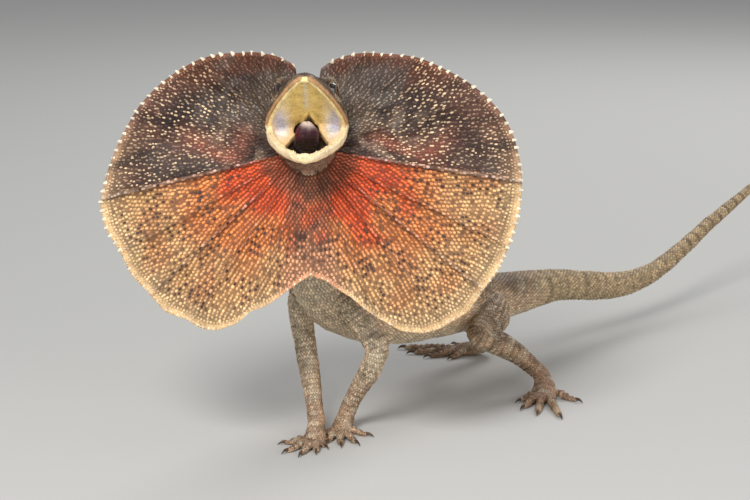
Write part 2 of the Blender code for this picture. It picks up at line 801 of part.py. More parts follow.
def frill_point(degrees, share, shift=0.0, face=0.0):
    """A point of the membrane: angle, share of the reach, sideways shift, front or back."""
    across, upward, forward = frill_axes()
    turn = math.radians(degrees)
    spoke = math.sin(turn) * across - math.cos(turn) * upward
    sideways = math.cos(turn) * across + math.sin(turn) * upward
    reach = FRILL_ROOT + (frill_reach(degrees) - FRILL_ROOT) * share
    dish = FRILL_DISH * (reach / 130.0) ** 1.6
    opening = math.sin(math.pi * min(share * 1.1, 1.0) / 2)
    pleat = -FRILL_PLEAT * (1.0 - ray_share(degrees)) * opening
    thick = FRILL_THICK_ROOT + (FRILL_THICK_RIM - FRILL_THICK_ROOT) * share
    rise = 0.0
    if face > 0:
        rise = max((high for ray, high in RAYS if abs(ray - degrees) < 0.01), default=0.0)
        rise *= 1.0 - 0.5 * share
    out = dish + pleat + face * thick / 2 + rise
    return FRILL_MIDDLE + spoke * reach + sideways * shift + forward * out


def frill_columns(start, end):
    """Angles of the columns: a ray has three, the rest are evenly set."""
    fixed = {float(start), float(end)}
    for ray, _ in RAYS:
        for place in (ray - RIDGE_HALF_WIDTH, float(ray), ray + RIDGE_HALF_WIDTH):
            if start <= place <= end:
                fixed.add(place)
    marks = sorted(fixed)
    columns = []
    for near, far in zip(marks, marks[1:]):
        parts = max(1, round((far - near) / FRILL_STEP))
        columns.extend(near + (far - near) * i / parts for i in range(parts))
    return columns + [marks[-1]]


def frill_sheet(name, start, end):
    columns = frill_columns(start, end)
    data = bmesh.new()
    sheets = []
    for face in (1.0, -1.0):
        sheet = []
        for i, degrees in enumerate(columns):
            shift = GAP / 2 if i == 0 else -GAP / 2 if i == len(columns) - 1 else 0.0
            sheet.append([data.verts.new(frill_point(degrees, r, shift, face) * MM) for r in FRILL_RINGS])
        sheets.append(sheet)
    last = len(FRILL_RINGS) - 1
    for front, sheet in enumerate(sheets):
        for near, far in zip(sheet, sheet[1:]):
            for j in range(last):
                data.faces.new((near[j], far[j], far[j + 1]))
                data.faces.new((near[j], far[j + 1], near[j + 1]))
    front, back = sheets
    for i in range(len(columns) - 1):
        data.faces.new((front[i][0], front[i + 1][0], back[i + 1][0], back[i][0]))
        data.faces.new((front[i][last], front[i + 1][last], back[i + 1][last], back[i][last]))
    for i in (0, len(columns) - 1):
        for j in range(last):
            data.faces.new((front[i][j], front[i][j + 1], back[i][j + 1], back[i][j]))
    return make_object(name, data, PARTS)


def edge_spines(start, end, dice):
    """Pointed scales set along the rim, large above and smaller towards the low lobes."""
    forward = frill_axes()[2]
    made = []
    degrees = start + 1.5
    while degrees < end - 1.5:
        large = abs(degrees) > SPINE_FROM
        reach = float(frill_reach(degrees))
        size = 1.0 if large else 0.62
        if abs(degrees) > 30 or large:
            length = SPINE_LENGTH * size * dice.uniform(0.8, 1.2)
            rim = frill_point(degrees, 1.0)
            inner = frill_point(degrees, 0.97)
            run = (rim - inner) / np.linalg.norm(rim - inner)
            root = rim - run * SPINE_SUNK
            tip = rim + run * length + forward * dice.uniform(-0.3, 0.3)
            made.append(spike("spine", root, tip, SPINE_WIDTH * size, FRILL_THICK_RIM * 0.9, forward))
        degrees += math.degrees(SPINE_STEP * (1.0 if large else 0.8) / reach)
    return made


def build_frill():
    dice = random.Random(SEED)
    for name, start, end in FRILL_PIECES:
        made = frill_sheet(name, start, end)
        combine(made, edge_spines(start, end, dice), "UNION")
        cut(made, [body_copy(0, 3)] + neck_cutters())
        look = "frill_orange" if "low" in name else "frill_side" if "side" in name else "frill_dark"
        finish(made, look, 25.0)


def centre_on_floor():
    """Moves every piece so that the middle of the whole stands over the origin."""
    corners = []
    for made in PARTS.objects:
        points = np.array([vert.co for vert in made.data.vertices])
        corners.append((points.min(axis=0), points.max(axis=0)))
    low = np.min([pair[0] for pair in corners], axis=0)
    high = np.max([pair[1] for pair in corners], axis=0)
    middle = (low + high) / 2
    for made in PARTS.objects:
        for vert in made.data.vertices:
            vert.co.x -= middle[0]
            vert.co.y -= middle[1]
            vert.co.z -= low[2]


def build_all():
    pieces = build_body()
    build_head()
    build_tongue()
    neck = pieces["neck_top"]
    cut(neck, neck_cutters() + [throat()])
    finish(neck, "hide")
    for i, (name, rows) in enumerate(LIMBS):
        build_limb(name, rows, LIMBS[i - 1][1] if i % 2 else None)
    for (name, palm, digits), (_, above) in zip(FEET, LIMBS[1::2]):
        build_foot(name, palm, digits, above)
    build_frill()
    centre_on_floor()


build_all()
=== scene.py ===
# %% [markdown]
# # Frilled lizard, looks
# A life-size model of a frilled lizard that stands with its frill spread and its mouth
# open. The solids give the sizes. This script covers them with one skin, thousands of
# small keeled scales, and the eyes, teeth, tongue and claws, then lights them.
# Lengths are millimetres in the model's own frame until a mesh is made.

import math

import bmesh
import bpy
import numpy as np
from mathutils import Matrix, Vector
from mathutils.bvhtree import BVHTree
from mathutils.kdtree import KDTree


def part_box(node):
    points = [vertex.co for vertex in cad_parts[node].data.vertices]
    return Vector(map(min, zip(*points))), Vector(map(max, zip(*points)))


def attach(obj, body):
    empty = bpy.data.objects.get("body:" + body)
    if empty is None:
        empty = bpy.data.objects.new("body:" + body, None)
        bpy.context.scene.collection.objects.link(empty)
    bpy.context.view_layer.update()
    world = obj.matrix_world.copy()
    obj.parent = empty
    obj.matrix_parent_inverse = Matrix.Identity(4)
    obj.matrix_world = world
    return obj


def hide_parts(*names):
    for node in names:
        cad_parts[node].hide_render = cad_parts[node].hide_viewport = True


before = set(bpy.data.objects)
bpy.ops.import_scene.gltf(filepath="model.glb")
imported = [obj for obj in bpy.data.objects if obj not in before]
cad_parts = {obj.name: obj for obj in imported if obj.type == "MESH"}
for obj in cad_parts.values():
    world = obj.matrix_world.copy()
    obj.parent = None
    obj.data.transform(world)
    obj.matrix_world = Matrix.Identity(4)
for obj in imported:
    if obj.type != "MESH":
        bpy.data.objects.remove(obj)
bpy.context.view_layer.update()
MM = 0.001
SEED = 11

# %% [markdown]
# The animal is described by a few tables of sizes. A row of the body is a point of its
# centre line with a half width and a half height, and the line is eased through them.
# The same rows made the solids, so a fold or a scale that is placed by them lands where
# the flesh is. The other way, measuring each mesh again, would be slower and less sure.

# %% Sizes of the body
BODY = [
    (-2, -4, 199, 16, 14), (-2, 9, 186, 18.5, 17), (-1, 24, 162, 16.5, 17.5), (0, 35, 135, 17, 19),
    (3, 46, 109, 19.5, 21), (11, 60, 87, 22, 22.5), (28, 80, 72, 23.5, 22.5), (49, 104, 64, 24, 23),
    (73, 130, 60, 22.5, 22), (96, 151, 57, 19, 19.5), (117, 170, 55, 15.5, 16.5),
    (140, 195, 54, 13.5, 13.5), (167, 230, 50.5, 10.5, 10.4), (188, 255, 44.5, 9.8, 9.8),
    (210, 282, 38, 9.2, 9.2), (232, 310, 35.5, 7.7, 7.6), (248, 330, 37.5, 6.6, 6.5),
    (264, 350, 43, 5.8, 5.7), (284.5, 378, 52.5, 5, 4.9), (301, 400, 61, 4.4, 4.3),
    (321.5, 425, 70.5, 3.7, 3.6), (341, 450, 79.5, 3, 2.9), (368, 485, 90, 2.3, 2.3),
    (392, 520, 97, 1.7, 1.7), (411, 552, 101, 1.2, 1.2), (424, 577, 102, 0.7, 0.7),
]
LIMBS = {
    "right_arm": [
        (4, 54, 96, 9, 9), (-6, 60, 86, 9.5, 9), (-9, 62, 71, 7.6, 7.6), (-7, 61, 54, 6.6, 7),
        (-4, 53, 38, 6.3, 6.6), (-0.5, 38, 20, 5, 5), (1.5, 27, 11, 5, 4.4), (0.4, 15, 4, 6.6, 4),
    ],
    "left_arm": [
        (8, 52, 95, 9, 9), (18, 42, 86, 9.3, 9), (31, 35, 70, 7.6, 7.6), (40, 30, 56, 6.6, 7),
        (34, 35, 40, 6.3, 6.6), (24, 42, 21, 5, 5), (20, 44, 11, 5, 4.4), (16.6, 35, 4, 6.6, 4),
    ],
    "left_leg": [
        (108, 160, 55, 11, 11), (117, 145, 52, 11.5, 11), (113, 129, 47, 10, 9.5), (105, 117, 42, 8, 8),
        (123, 122, 34, 7.8, 7.6), (140, 130, 20, 5.4, 5.4), (149, 134, 11, 5, 5), (149, 115, 4, 8, 4.2),
    ],
    "right_leg": [
        (108, 160, 55, 11, 11), (98, 173, 53, 11.5, 11), (93, 184, 49, 10, 9.5), (90, 194, 44, 8, 8),
        (99, 205, 34, 7.8, 7.6), (112, 217, 19, 5.4, 5.4), (118, 222, 11, 5, 5), (103, 229, 4, 8, 4.2),
    ],
}
# Digits: x and y of the root, heading in degrees from -Y towards +X, length, thickness
DIGITS = {
    "right_hand": [(3.4, 15, 22, 10, 1.8), (1.8, 10, 0, 15, 2), (-0.8, 9, -18, 20, 2.1),
                   (-3.4, 10, -40, 19, 2), (-4.6, 15, -76, 13, 1.9)],
    "left_hand": [(12, 35, -34, 10, 1.8), (12.8, 30, -16, 15, 2), (15.2, 29, 4, 20, 2.1),
                  (17.6, 30, 26, 19, 2), (20.4, 35, 64, 13, 1.9)],
    "left_foot": [(143, 113, -52, 12, 2), (143.5, 106, -30, 19, 2.2), (147, 104, -10, 27, 2.3),
                  (151, 105, 8, 36, 2.4), (155, 119, 48, 20, 2.1)],
    "right_foot": [(100, 223, -42, 12, 2), (94, 225, -68, 19, 2.2), (92, 229, -88, 27, 2.3),
                   (94, 233, -104, 36, 2.4), (108, 235, -142, 20, 2.1)],
}
CLAW_LENGTH = 5.5
JAW_JOINT = np.array([-2.2, -8.0, 199.2])
UPPER_PITCH = 42.0
LOWER_PITCH = -12.0
# Stations of each jaw: distance along and half width
SKULL = np.array([
    (-15, 12), (-13, 17), (-8, 21.5), (-2, 24), (5, 24), (12, 22.5), (19, 20), (25, 17.8),
    (31, 15), (37, 12.2), (43, 8.8), (47.5, 6), (50, 3),
])
JAW = np.array([
    (-13, 13), (-9, 19), (-2, 23), (6, 23.2), (14, 22), (22, 19.6), (30, 16.2), (37, 12.2),
    (43, 7.6), (46.5, 3.2),
])
LIP = 3.2
MOUTH_MIDDLE = -1.1
EYE = (23.5, 12.6, 10.6)  # along, out, up
EYE_RADIUS = 5.3

# %% [markdown]
# The frill is a thin membrane on thin rays of cartilage. Its outline is a table of
# reach against angle, counted from straight down, and its panels sag between the rays.
# Angles run from the bottom up both sides, below 0 on the animal's right. A place on
# the sheet is then an angle and a share of the reach, from 0 at the root to 1 at the rim.

# %% Sizes of the frill
FRILL_MIDDLE = np.array([-1.8, 3.0, 185.5])
FRILL_LEAN = math.radians(12.0)
FRILL_EDGE = np.array([
    (-173, 45.6), (-168, 52.4), (-161, 57.8), (-154, 63.1), (-144, 70.3), (-135, 78.7),
    (-125, 86.7), (-115, 94.8), (-106, 101.7), (-95, 109.8), (-86, 117.6), (-79, 123.7),
    (-75, 127.7), (-68, 129.7), (-61, 127.4), (-54, 129.6), (-48, 128), (-41, 129.5),
    (-35, 125), (-31, 125.2), (-27, 122.4), (-22, 113), (-19, 102.4), (-16, 99.5),
    (-9, 87.3), (-4, 80.5), (1, 76.2), (8, 80.5), (12, 86.5), (16, 92.8), (20, 103.7),
    (24, 113.8), (27, 122.7), (32, 130.4), (36, 133.3), (39, 134), (44, 136.7),
    (51, 134.2), (57, 134.8), (63, 133.2), (72, 131.7), (79, 129.5), (86, 126.5),
    (93, 122.7), (99, 118), (105, 111.4), (112, 103.3), (120, 93.9), (129, 85),
    (141, 72.4), (154, 62.3), (164, 54.6), (171, 48.2), (173, 46.1),
])
RAYS = np.array([
    (-150, 0.5), (-128, 0.5), (-104, 0.6), (-76, 0.8), (-61, 0.7), (-47, 1.1), (-34, 0.7),
    (-18, 0.9), (22, 0.9), (38, 0.7), (51, 1.1), (64, 0.7), (81, 0.8), (106, 0.6),
    (129, 0.5), (150, 0.5),
])
FRILL_FIT = 0.985
FRILL_ROOT = 9.0
FRILL_DISH = 13.0
FRILL_PLEAT = 3.0
FRILL_THICK_ROOT = 1.6
FRILL_THICK_RIM = 1.0
FRILL_ENDS = (-171.0, 171.0)
# Angles from which the dark upper part of the frill starts, on the right and on the left
UPPER_EDGE_RIGHT = 76.5
UPPER_EDGE_LEFT = 81.5
print("tables:", len(BODY), "rows of body,", len(RAYS), "rays, edge in", len(FRILL_EDGE), "points")


# %% [markdown]
# Small helpers: easing through table rows, and a smooth random field. The field is a sum
# of sine waves in space, which is soft, the same on every run, and can be read at any
# point, so the skin and the scales that stand on it get the same patches.

# %% Helpers for lines and fields
def eased(keys, marks, at):
    keys = np.asarray(keys, float)
    slope = np.gradient(keys, marks, axis=0)
    place = np.clip(np.searchsorted(marks, at, side="right") - 1, 0, len(marks) - 2)
    span = (marks[place + 1] - marks[place])[:, None]
    part = ((at - marks[place]) / span[:, 0])[:, None]
    first = (2 * part**3 - 3 * part**2 + 1) * keys[place]
    second = (part**3 - 2 * part**2 + part) * span * slope[place]
    third = (-2 * part**3 + 3 * part**2) * keys[place + 1]
    fourth = (part**3 - part**2) * span * slope[place + 1]
    return first + second + third + fourth


def sampled(keys, step=1.0):
    """Rows at even steps along a line, with the way it runs, its side and its top."""
    keys = np.asarray(keys, float)
    marks = np.concatenate([[0], np.cumsum(np.linalg.norm(np.diff(keys[:, :3], axis=0), axis=1))])
    at = np.linspace(0, marks[-1], int(marks[-1] / step) + 2)
    rows = eased(keys, marks, at)
    run = np.gradient(rows[:, :3], axis=0)
    run /= np.linalg.norm(run, axis=1)[:, None]
    guide = np.array([0.0, 0.0, 1.0]) if abs(np.mean(run[:, 2])) < 0.75 else np.array([0.0, 1.0, 0.0])
    side = np.cross(run, guide)
    side /= np.linalg.norm(side, axis=1)[:, None]
    return {"at": at, "rows": rows, "run": run, "side": side, "top": np.cross(side, run)}


def step(low, high, value):
    part = np.clip((value - low) / (high - low), 0, 1)
    return part * part * (3 - 2 * part)


def hump(middle, width, value):
    return np.exp(-(((value - middle) / width) ** 2))


def waves(points, size, seed, count=18):
    """A smooth random field from -1 to 1 whose patches are about size across."""
    dice = np.random.default_rng(seed)
    way = dice.normal(size=(count, 3))
    way /= np.linalg.norm(way, axis=1)[:, None]
    way *= (2 * math.pi / (size * dice.uniform(1.4, 2.8, count)))[:, None]
    total = np.sin(points @ way.T + dice.uniform(0, 2 * math.pi, count)).sum(axis=1)
    return np.clip(total / (0.5 * count) ** 0.5 / 1.8, -1, 1)


def head_place(pitch, along, out, up):
    turn = math.radians(pitch)
    forward = np.array([0.0, -math.cos(turn), math.sin(turn)])
    above = np.array([0.0, math.sin(turn), math.cos(turn)])
    return JAW_JOINT + along * forward + np.array([out, 0.0, 0.0]) + up * above


def head_read(pitch, points):
    """Distance along a jaw, out to the side and up, of each point."""
    turn = math.radians(pitch)
    away = points - JAW_JOINT
    along = -away[:, 1] * math.cos(turn) + away[:, 2] * math.sin(turn)
    up = away[:, 1] * math.sin(turn) + away[:, 2] * math.cos(turn)
    return along, away[:, 0], up


eye_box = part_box("eye_left")
eye_middle = np.array([(a + b) / 2 for a, b in zip(*eye_box)])
SHIFT = eye_middle / MM - head_place(UPPER_PITCH, EYE[0], EYE[1], EYE[2])
print("shift of the tables:", np.round(SHIFT, 2))


# %% [markdown]
# A mesh of many thousand small parts is slow to build face by face. These helpers fill
# and read whole arrays at once, and write a tint or a number on each point, which the
# materials read later by its name.

# %% Helpers for meshes
def mesh_object(name, points, faces, smooth=True):
    """A mesh from an array of points in millimetres and an array of faces of one size."""
    mesh = bpy.data.meshes.new(name)
    corners = faces.shape[1]
    mesh.vertices.add(len(points))
    mesh.vertices.foreach_set("co", ((points + SHIFT) * MM).astype(np.float32).ravel())
    mesh.loops.add(faces.size)
    mesh.loops.foreach_set("vertex_index", faces.astype(np.int32).ravel())
    mesh.polygons.add(len(faces))
    mesh.polygons.foreach_set("loop_start", np.arange(0, faces.size, corners, dtype=np.int32))
    mesh.polygons.foreach_set("use_smooth", np.full(len(faces), smooth))
    mesh.update(calc_edges=True)
    made = bpy.data.objects.new(name, mesh)
    bpy.context.scene.collection.objects.link(made)
    return made


def read_points(mesh):
    points = np.zeros(len(mesh.vertices) * 3, np.float32)
    mesh.vertices.foreach_get("co", points)
    return points.reshape(-1, 3).astype(float) / MM - SHIFT


def read_normals(mesh):
    normals = np.zeros(len(mesh.vertices) * 3, np.float32)
    mesh.vertices.foreach_get("normal", normals)
    return normals.reshape(-1, 3).astype(float)


def write_points(mesh, points):
    mesh.vertices.foreach_set("co", ((points + SHIFT) * MM).astype(np.float32).ravel())
    mesh.update()


def write_value(mesh, name, values):
    made = mesh.attributes.new(name, "FLOAT", "POINT")
    made.data.foreach_set("value", np.asarray(values, np.float32))


def write_colour(mesh, name, values):
    made = mesh.attributes.new(name, "FLOAT_COLOR", "POINT")
    filled = np.column_stack([values, np.ones(len(values))])
    made.data.foreach_set("color", filled.astype(np.float32).ravel())


def write_vector(mesh, name, values):
    made = mesh.attributes.new(name, "FLOAT_VECTOR", "POINT")
    made.data.foreach_set("vector", np.asarray(values, np.float32).ravel())


def tree_of(mesh):
    mesh.calc_loop_triangles()
    corners = np.zeros(len(mesh.loop_triangles) * 3, np.int32)
    mesh.loop_triangles.foreach_get("vertices", corners)
    return BVHTree.FromPolygons(read_points(mesh).tolist(), corners.reshape(-1, 3).tolist())


def tint(red, green, blue):
    """A colour as a screen shows it, 0 to 255, turned into light."""
    shown = np.array([red, green, blue], float) / 255
    return np.where(shown <= 0.04045, shown / 12.92, ((shown + 0.055) / 1.055) ** 2.4)


def blend_to(colours, target, share):
    share = np.clip(share, 0, 1)[:, None]
    return colours * (1 - share) + target * share


# %% [markdown]
# The flesh solids were kept apart by a hair's gap so that each could be checked. On the
# animal they are one body. Each is swelled a little so that it bites into the next one,
# and a fine remesh makes one surface of them all, which is then smoothed.

# %% One surface over the flesh
FLESH = [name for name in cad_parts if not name.startswith(("eye", "tongue", "frill"))]
FRILLS = [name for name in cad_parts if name.startswith("frill")]
SWELL = 0.25
VOXEL = 0.75


def draw_claws_in(name, points):
    """The claws are pieces of their own, so the skin ends at the tip of each digit."""
    for root_x, root_y, heading, length, _ in DIGITS.get(name, []):
        turn = math.radians(heading)
        way = np.array([math.sin(turn), -math.cos(turn)])
        away = points[:, :2] - (root_x, root_y)
        along = away @ way
        across = np.abs(away @ np.array([-way[1], way[0]]))
        beyond = (along > length + 0.3) & (across < 1.6)
        points[beyond, :2] -= np.outer((along[beyond] - length) * 0.94, way)
        points[beyond, 2] = 1.0 + (points[beyond, 2] - 1.0) * 0.4
    return points


def flesh_surface():
    data = bmesh.new()
    for name in FLESH:
        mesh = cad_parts[name].data.copy()
        points = draw_claws_in(name, read_points(mesh)) + SWELL * read_normals(mesh)
        write_points(mesh, points)
        data.from_mesh(mesh)
        bpy.data.meshes.remove(mesh)
    bmesh.ops.remove_doubles(data, verts=data.verts, dist=0.00001)
    mesh = bpy.data.meshes.new("flesh")
    data.to_mesh(mesh)
    data.free()
    made = bpy.data.objects.new("flesh", mesh)
    bpy.context.scene.collection.objects.link(made)
    remesh = made.modifiers.new("remesh", "REMESH")
    remesh.mode = "VOXEL"
    remesh.voxel_size = VOXEL * MM
    smooth = made.modifiers.new("smooth", "SMOOTH")
    smooth.factor = 0.5
    smooth.iterations = 5
    graph = bpy.context.evaluated_depsgraph_get()
    solid = bpy.data.meshes.new_from_object(made.evaluated_get(graph))
    bpy.data.objects.remove(made)
    return solid


flesh = flesh_surface()
print("flesh:", len(flesh.polygons), "faces")


# %% [markdown]
# The head carries the finest folds, so its part of the surface is divided once more.
# A finer remesh of the whole animal would do the same and cost four times the faces.

# %% Finer head
def refine_head(mesh):
    data = bmesh.new()
    data.from_mesh(mesh)
    low = (JAW_JOINT + SHIFT + np.array([0, 8, -30])) * MM
    chosen = set()
    for face in data.faces:
        centre = face.calc_center_median()
        if centre.y < low[1] and centre.z > low[2]:
            chosen.update(face.edges)
    bmesh.ops.subdivide_edges(data, edges=list(chosen), cuts=1, use_grid_fill=True)
    loose = [face for face in data.faces if len(face.verts) > 4]
    bmesh.ops.triangulate(data, faces=loose)
    data.to_mesh(mesh)
    data.free()
    return mesh


refine_head(flesh)
print("with the finer head:", len(flesh.polygons), "faces")

# %% [markdown]
# Every point of the skin is told which line it lies along, the body's or a limb's, how
# far along, and how far round from the back. Folds, scales and markings all use this.
# The nearest line is the one that the point is fewest radii away from, so that a thin
# arm keeps its own skin beside the thick chest.

# %% Lines through the body and limbs
LINES = {"body": sampled(BODY)}
LINES.update({name: sampled(rows) for name, rows in LIMBS.items()})


def read_lines(points):
    """For each point: the nearest line's number, distance along it and turn from its top."""
    best = np.full(len(points), 1e9)
    which = np.zeros(len(points), int)
    along = np.zeros(len(points))
    turn = np.zeros(len(points))
    for number, line in enumerate(LINES.values()):
        tree = KDTree(len(line["at"]))
        for i, row in enumerate(line["rows"]):
            tree.insert(row[:3], i)
        tree.balance()
        nearest = np.array([tree.find(p)[1] for p in points.tolist()])
        away = points - line["rows"][nearest, :3]
        across = np.einsum("ij,ij->i", away, line["side"][nearest])
        rise = np.einsum("ij,ij->i", away, line["top"][nearest])
        reach = np.linalg.norm(away, axis=1) / (0.5 * (line["rows"][nearest, 3] + line["rows"][nearest, 4]))
        score = reach if number else reach * 0.98
        closer = score < best
        best[closer] = score[closer]
        which[closer] = number
        along[closer] = line["at"][nearest][closer]
        turn[closer] = np.arctan2(across, rise)[closer]
    return which, along, turn


# %% [markdown]
# Folds: the loose skin of the neck lies in rings, the belly in faint cross rows, and the
# joints of the limbs wrinkle on their inner side. Along the back runs a low crest. They
# could be sculpted by hand or painted as a bump. Moving the points by a formula keeps
# them in the mesh itself, so that they also show at the outline.

# %% Folds of the skin
KNUCKLE_SPACING = 4.2
KNUCKLE_RISE = 0.36


def knuckles(points):
    """Swellings along each digit, one to a joint."""
    lift = np.zeros(len(points))
    for digits in DIGITS.values():
        for x, y, heading, length, thick in digits:
            turn = math.radians(heading)
            away = points[:, :2] - (x, y)
            along = away @ np.array([math.sin(turn), -math.cos(turn)])
            across = np.abs(away @ np.array([math.cos(turn), math.sin(turn)]))
            near = step(0, 2, along) * step(length + 2, length, along)
            near = near * (across < thick + 1.0) * (points[:, 2] < 8)
            joints = max(2, round(length / KNUCKLE_SPACING))
            lift += near * KNUCKLE_RISE * np.cos(2 * math.pi * along * joints / length)
    return lift


def fold_skin(points, normals):
    which, along, turn = read_lines(points)
    body = which == 0
    head = step(16, 2, points[:, 1]) * step(168, 180, points[:, 2])
    lift = 0.25 * waves(points, 9, 3) + 0.12 * waves(points, 3.2, 4)
    neck = body * step(18, 34, along) * step(112, 84, along) * (1 - head)
    rings = np.sin(along * 1.15 + 1.6 * waves(points, 22, 5))
    lift += neck * 0.55 * rings * (0.4 + 0.6 * step(0.6, 2.4, np.abs(turn)))
    flank = body * step(100, 130, along) * step(250, 220, along)
    lift += flank * 0.4 * np.sin(along * 0.55 + 2.2 * waves(points, 30, 6)) * hump(1.7, 0.7, np.abs(turn))
    crest = body * step(20, 60, along) * step(400, 300, along)
    lift += crest * 0.9 * hump(0, 0.16, turn)
    limb = which > 0
    lift += limb * 0.35 * np.sin(along * 1.5 + 2.0 * waves(points, 12, 7)) * hump(math.pi, 1.3, np.abs(turn))
    lift *= 1 - 0.9 * head
    lift += knuckles(points)
    lift *= step(0.2, 2.5, points[:, 2])
    return points + normals * lift[:, None], which, along, turn


skin_points = read_points(flesh)
skin_points, skin_line, skin_along, skin_turn = fold_skin(skin_points, read_normals(flesh))
write_points(flesh, skin_points)
print("folded skin over", len(LINES), "lines")


# %% [markdown]
# Head: the lips are a double roll, the roof of the mouth has low cross ridges and a
# ridge along its middle, and the skin is drawn in under the brows and round the lids. First
# masks say how much each point belongs to a part, from 0 to 1; then each fold is one
# term that is multiplied by its mask, so parts run into each other without an edge.

# %% Masks of the mouth
def jaw_width(table, along):
    return np.interp(along, table[:, 0], table[:, 1])


def mouth_masks(points):
    """Shares of each point that lie in the upper and the lower mouth, and on the lips."""
    along, out, up = head_read(UPPER_PITCH, points)
    wide = jaw_width(SKULL, along)
    inside = step(LIP - 0.4, LIP + 0.5, wide - np.abs(out))
    upper = inside * step(7.0, 5.8, up) * step(-9, -7, up) * step(-12, -9, along) * step(47.5, 45.5, along)
    upper_lip = step(LIP + 0.6, LIP - 0.2, wide - np.abs(out)) * step(2.4, 1.2, up) * step(-8, -3, along)
    upper_lip = np.maximum(upper_lip, step(45.5, 47, along) * step(2.4, 1.2, up)) * step(-5, -3, up)
    low_along, low_out, low_up = head_read(LOWER_PITCH, points)
    low_wide = jaw_width(JAW, low_along)
    low_inside = step(LIP - 0.4, LIP + 0.5, low_wide - np.abs(low_out))
    lower = low_inside * step(-7.4, -6.2, low_up) * step(2.5, 0.6, low_up) * step(-9, -5, low_along)
    lower *= step(44.5, 43, low_along)
    lower_lip = step(LIP + 0.6, LIP - 0.2, low_wide - np.abs(low_out)) * step(-5.8, -4.6, low_up)
    lower_lip = np.maximum(lower_lip, step(42.5, 44, low_along) * step(-5.8, -4.6, low_up))
    lower_lip *= step(4, 2, low_up) * step(-8, -3, low_along) * step(54, 50, low_along)
    front = step(12, 6, points[:, 1]) * ((up <= 8) & (along >= -12))
    return upper * front, upper_lip * front, lower * front, lower_lip * front


# The height in the throat is read along a line that leans back by 12 degrees
GULLET_UP = 0.978
GULLET_BACK = 0.208
GULLET_TOP = 200.8
GULLET_SLOPE = 11.7 / 18.3


def gullet_edge(points):
    """Height on a slanted scale, and how far inside the folds round the gullet a point is."""
    height = GULLET_UP * points[:, 2] + GULLET_BACK * points[:, 1]
    wide = np.clip(GULLET_TOP - height, 0, 22) * GULLET_SLOPE
    return height, wide - np.abs(points[:, 0] - MOUTH_MIDDLE)


# %% Shape of the head
def shape_head(points, normals):
    upper, upper_lip, lower, lower_lip = mouth_masks(points)
    along, out, up = head_read(UPPER_PITCH, points)
    wide = jaw_width(SKULL, along)
    height, inner = gullet_edge(points)
    inside = np.maximum(upper, lower)
    lift = upper * 0.07 * np.sin(along * 1.1 + 0.05 * out**2) * step(4, 10, along)
    lift += upper * 0.5 * hump(0, 1.3, out) * step(12, 20, along)
    lift += upper * 0.6 * hump(43.5, 1.6, along) * hump(0, 4, out) - upper * 0.5 * hump(40.5, 1.0, along)
    lift += inside * (1.1 * hump(-1.0, 1.2, inner) - 1.6 * step(-0.3, 1.6, inner)) * step(202, 199, height)
    groove = wide - np.abs(out)
    lift -= upper_lip * 0.5 * hump(1.05, 0.34, groove) * step(46, 43, along)
    low_along = head_read(LOWER_PITCH, points)[0]
    low_groove = jaw_width(JAW, low_along) - np.abs(out)
    lift -= lower_lip * 0.35 * hump(1.9, 0.4, low_groove)
    bead = hump(0, 2.0, out) * hump(43.2, 1.3, low_along)
    lift += lower_lip * 1.0 * bead
    round_lip = low_along + 0.7 * np.abs(out)
    lift += lower_lip * 0.15 * hump(0.2, 0.5, low_groove) * np.sin(round_lip * 2 * math.pi / 1.6)
    outside = (1 - upper) * (1 - lower) * step(-20, -14, along) * step(12, 4, points[:, 1])
    lift += outside * (0.22 * waves(points, 4.0, 21) + 0.12 * waves(points, 1.9, 22))
    lift -= outside * 0.5 * hump(3.6, 0.7, up) * step(-2, 4, along) * step(44, 38, along)
    ring = np.hypot(along - EYE[0], (up - EYE[2]) / 0.82)
    near_eye = outside * step(8, 12, np.abs(out))
    folds = 0.5 * hump(7.2, 0.55, ring) - 0.45 * hump(6.3, 0.4, ring) + 0.35 * hump(8.8, 0.5, ring)
    lift += near_eye * folds
    lift -= near_eye * 0.9 * step(2, 5, along - EYE[0]) * hump(5.6, 1.4, ring)
    lift *= step(20, 8, points[:, 1]) * step(160, 172, points[:, 2])
    return points + normals * lift[:, None]


head_before = skin_points
skin_points = shape_head(skin_points, read_normals(flesh))
write_points(flesh, skin_points)
print("deepest fold of the head:", round(float(np.abs(skin_points - head_before).max()), 2), "mm")


# %% [markdown]
# The membrane of the frill is one sheet with two faces, made as a polar grid. On its
# front each ray stands up as a ridge with a shallow groove at its side, and fine
# creases run out towards the rim. The root of the sheet is sunk in the neck. The solids
# have the same sheet with fewer faces; here the grid is fine enough for the creases.

# %% Membrane of the frill
FRILL_COLUMNS = 620
FRILL_RINGS = 84


def frill_reach(degrees):
    fine = np.arange(-175, 175.1, 0.25)
    reach = FRILL_FIT * np.interp(fine, FRILL_EDGE[:, 0], FRILL_EDGE[:, 1])
    soft = np.convolve(np.pad(reach, 5, mode="edge"), np.hanning(11) / np.hanning(11).sum(), mode="valid")
    return np.interp(degrees, fine, soft)


def ray_share(degrees):
    after = np.clip(np.searchsorted(RAYS[:, 0], degrees), 1, len(RAYS) - 1)
    near, far = RAYS[after - 1, 0], RAYS[after, 0]
    part = np.clip((degrees - near) / (far - near), 0, 1)
    return 1.0 - np.sin(math.pi * part)


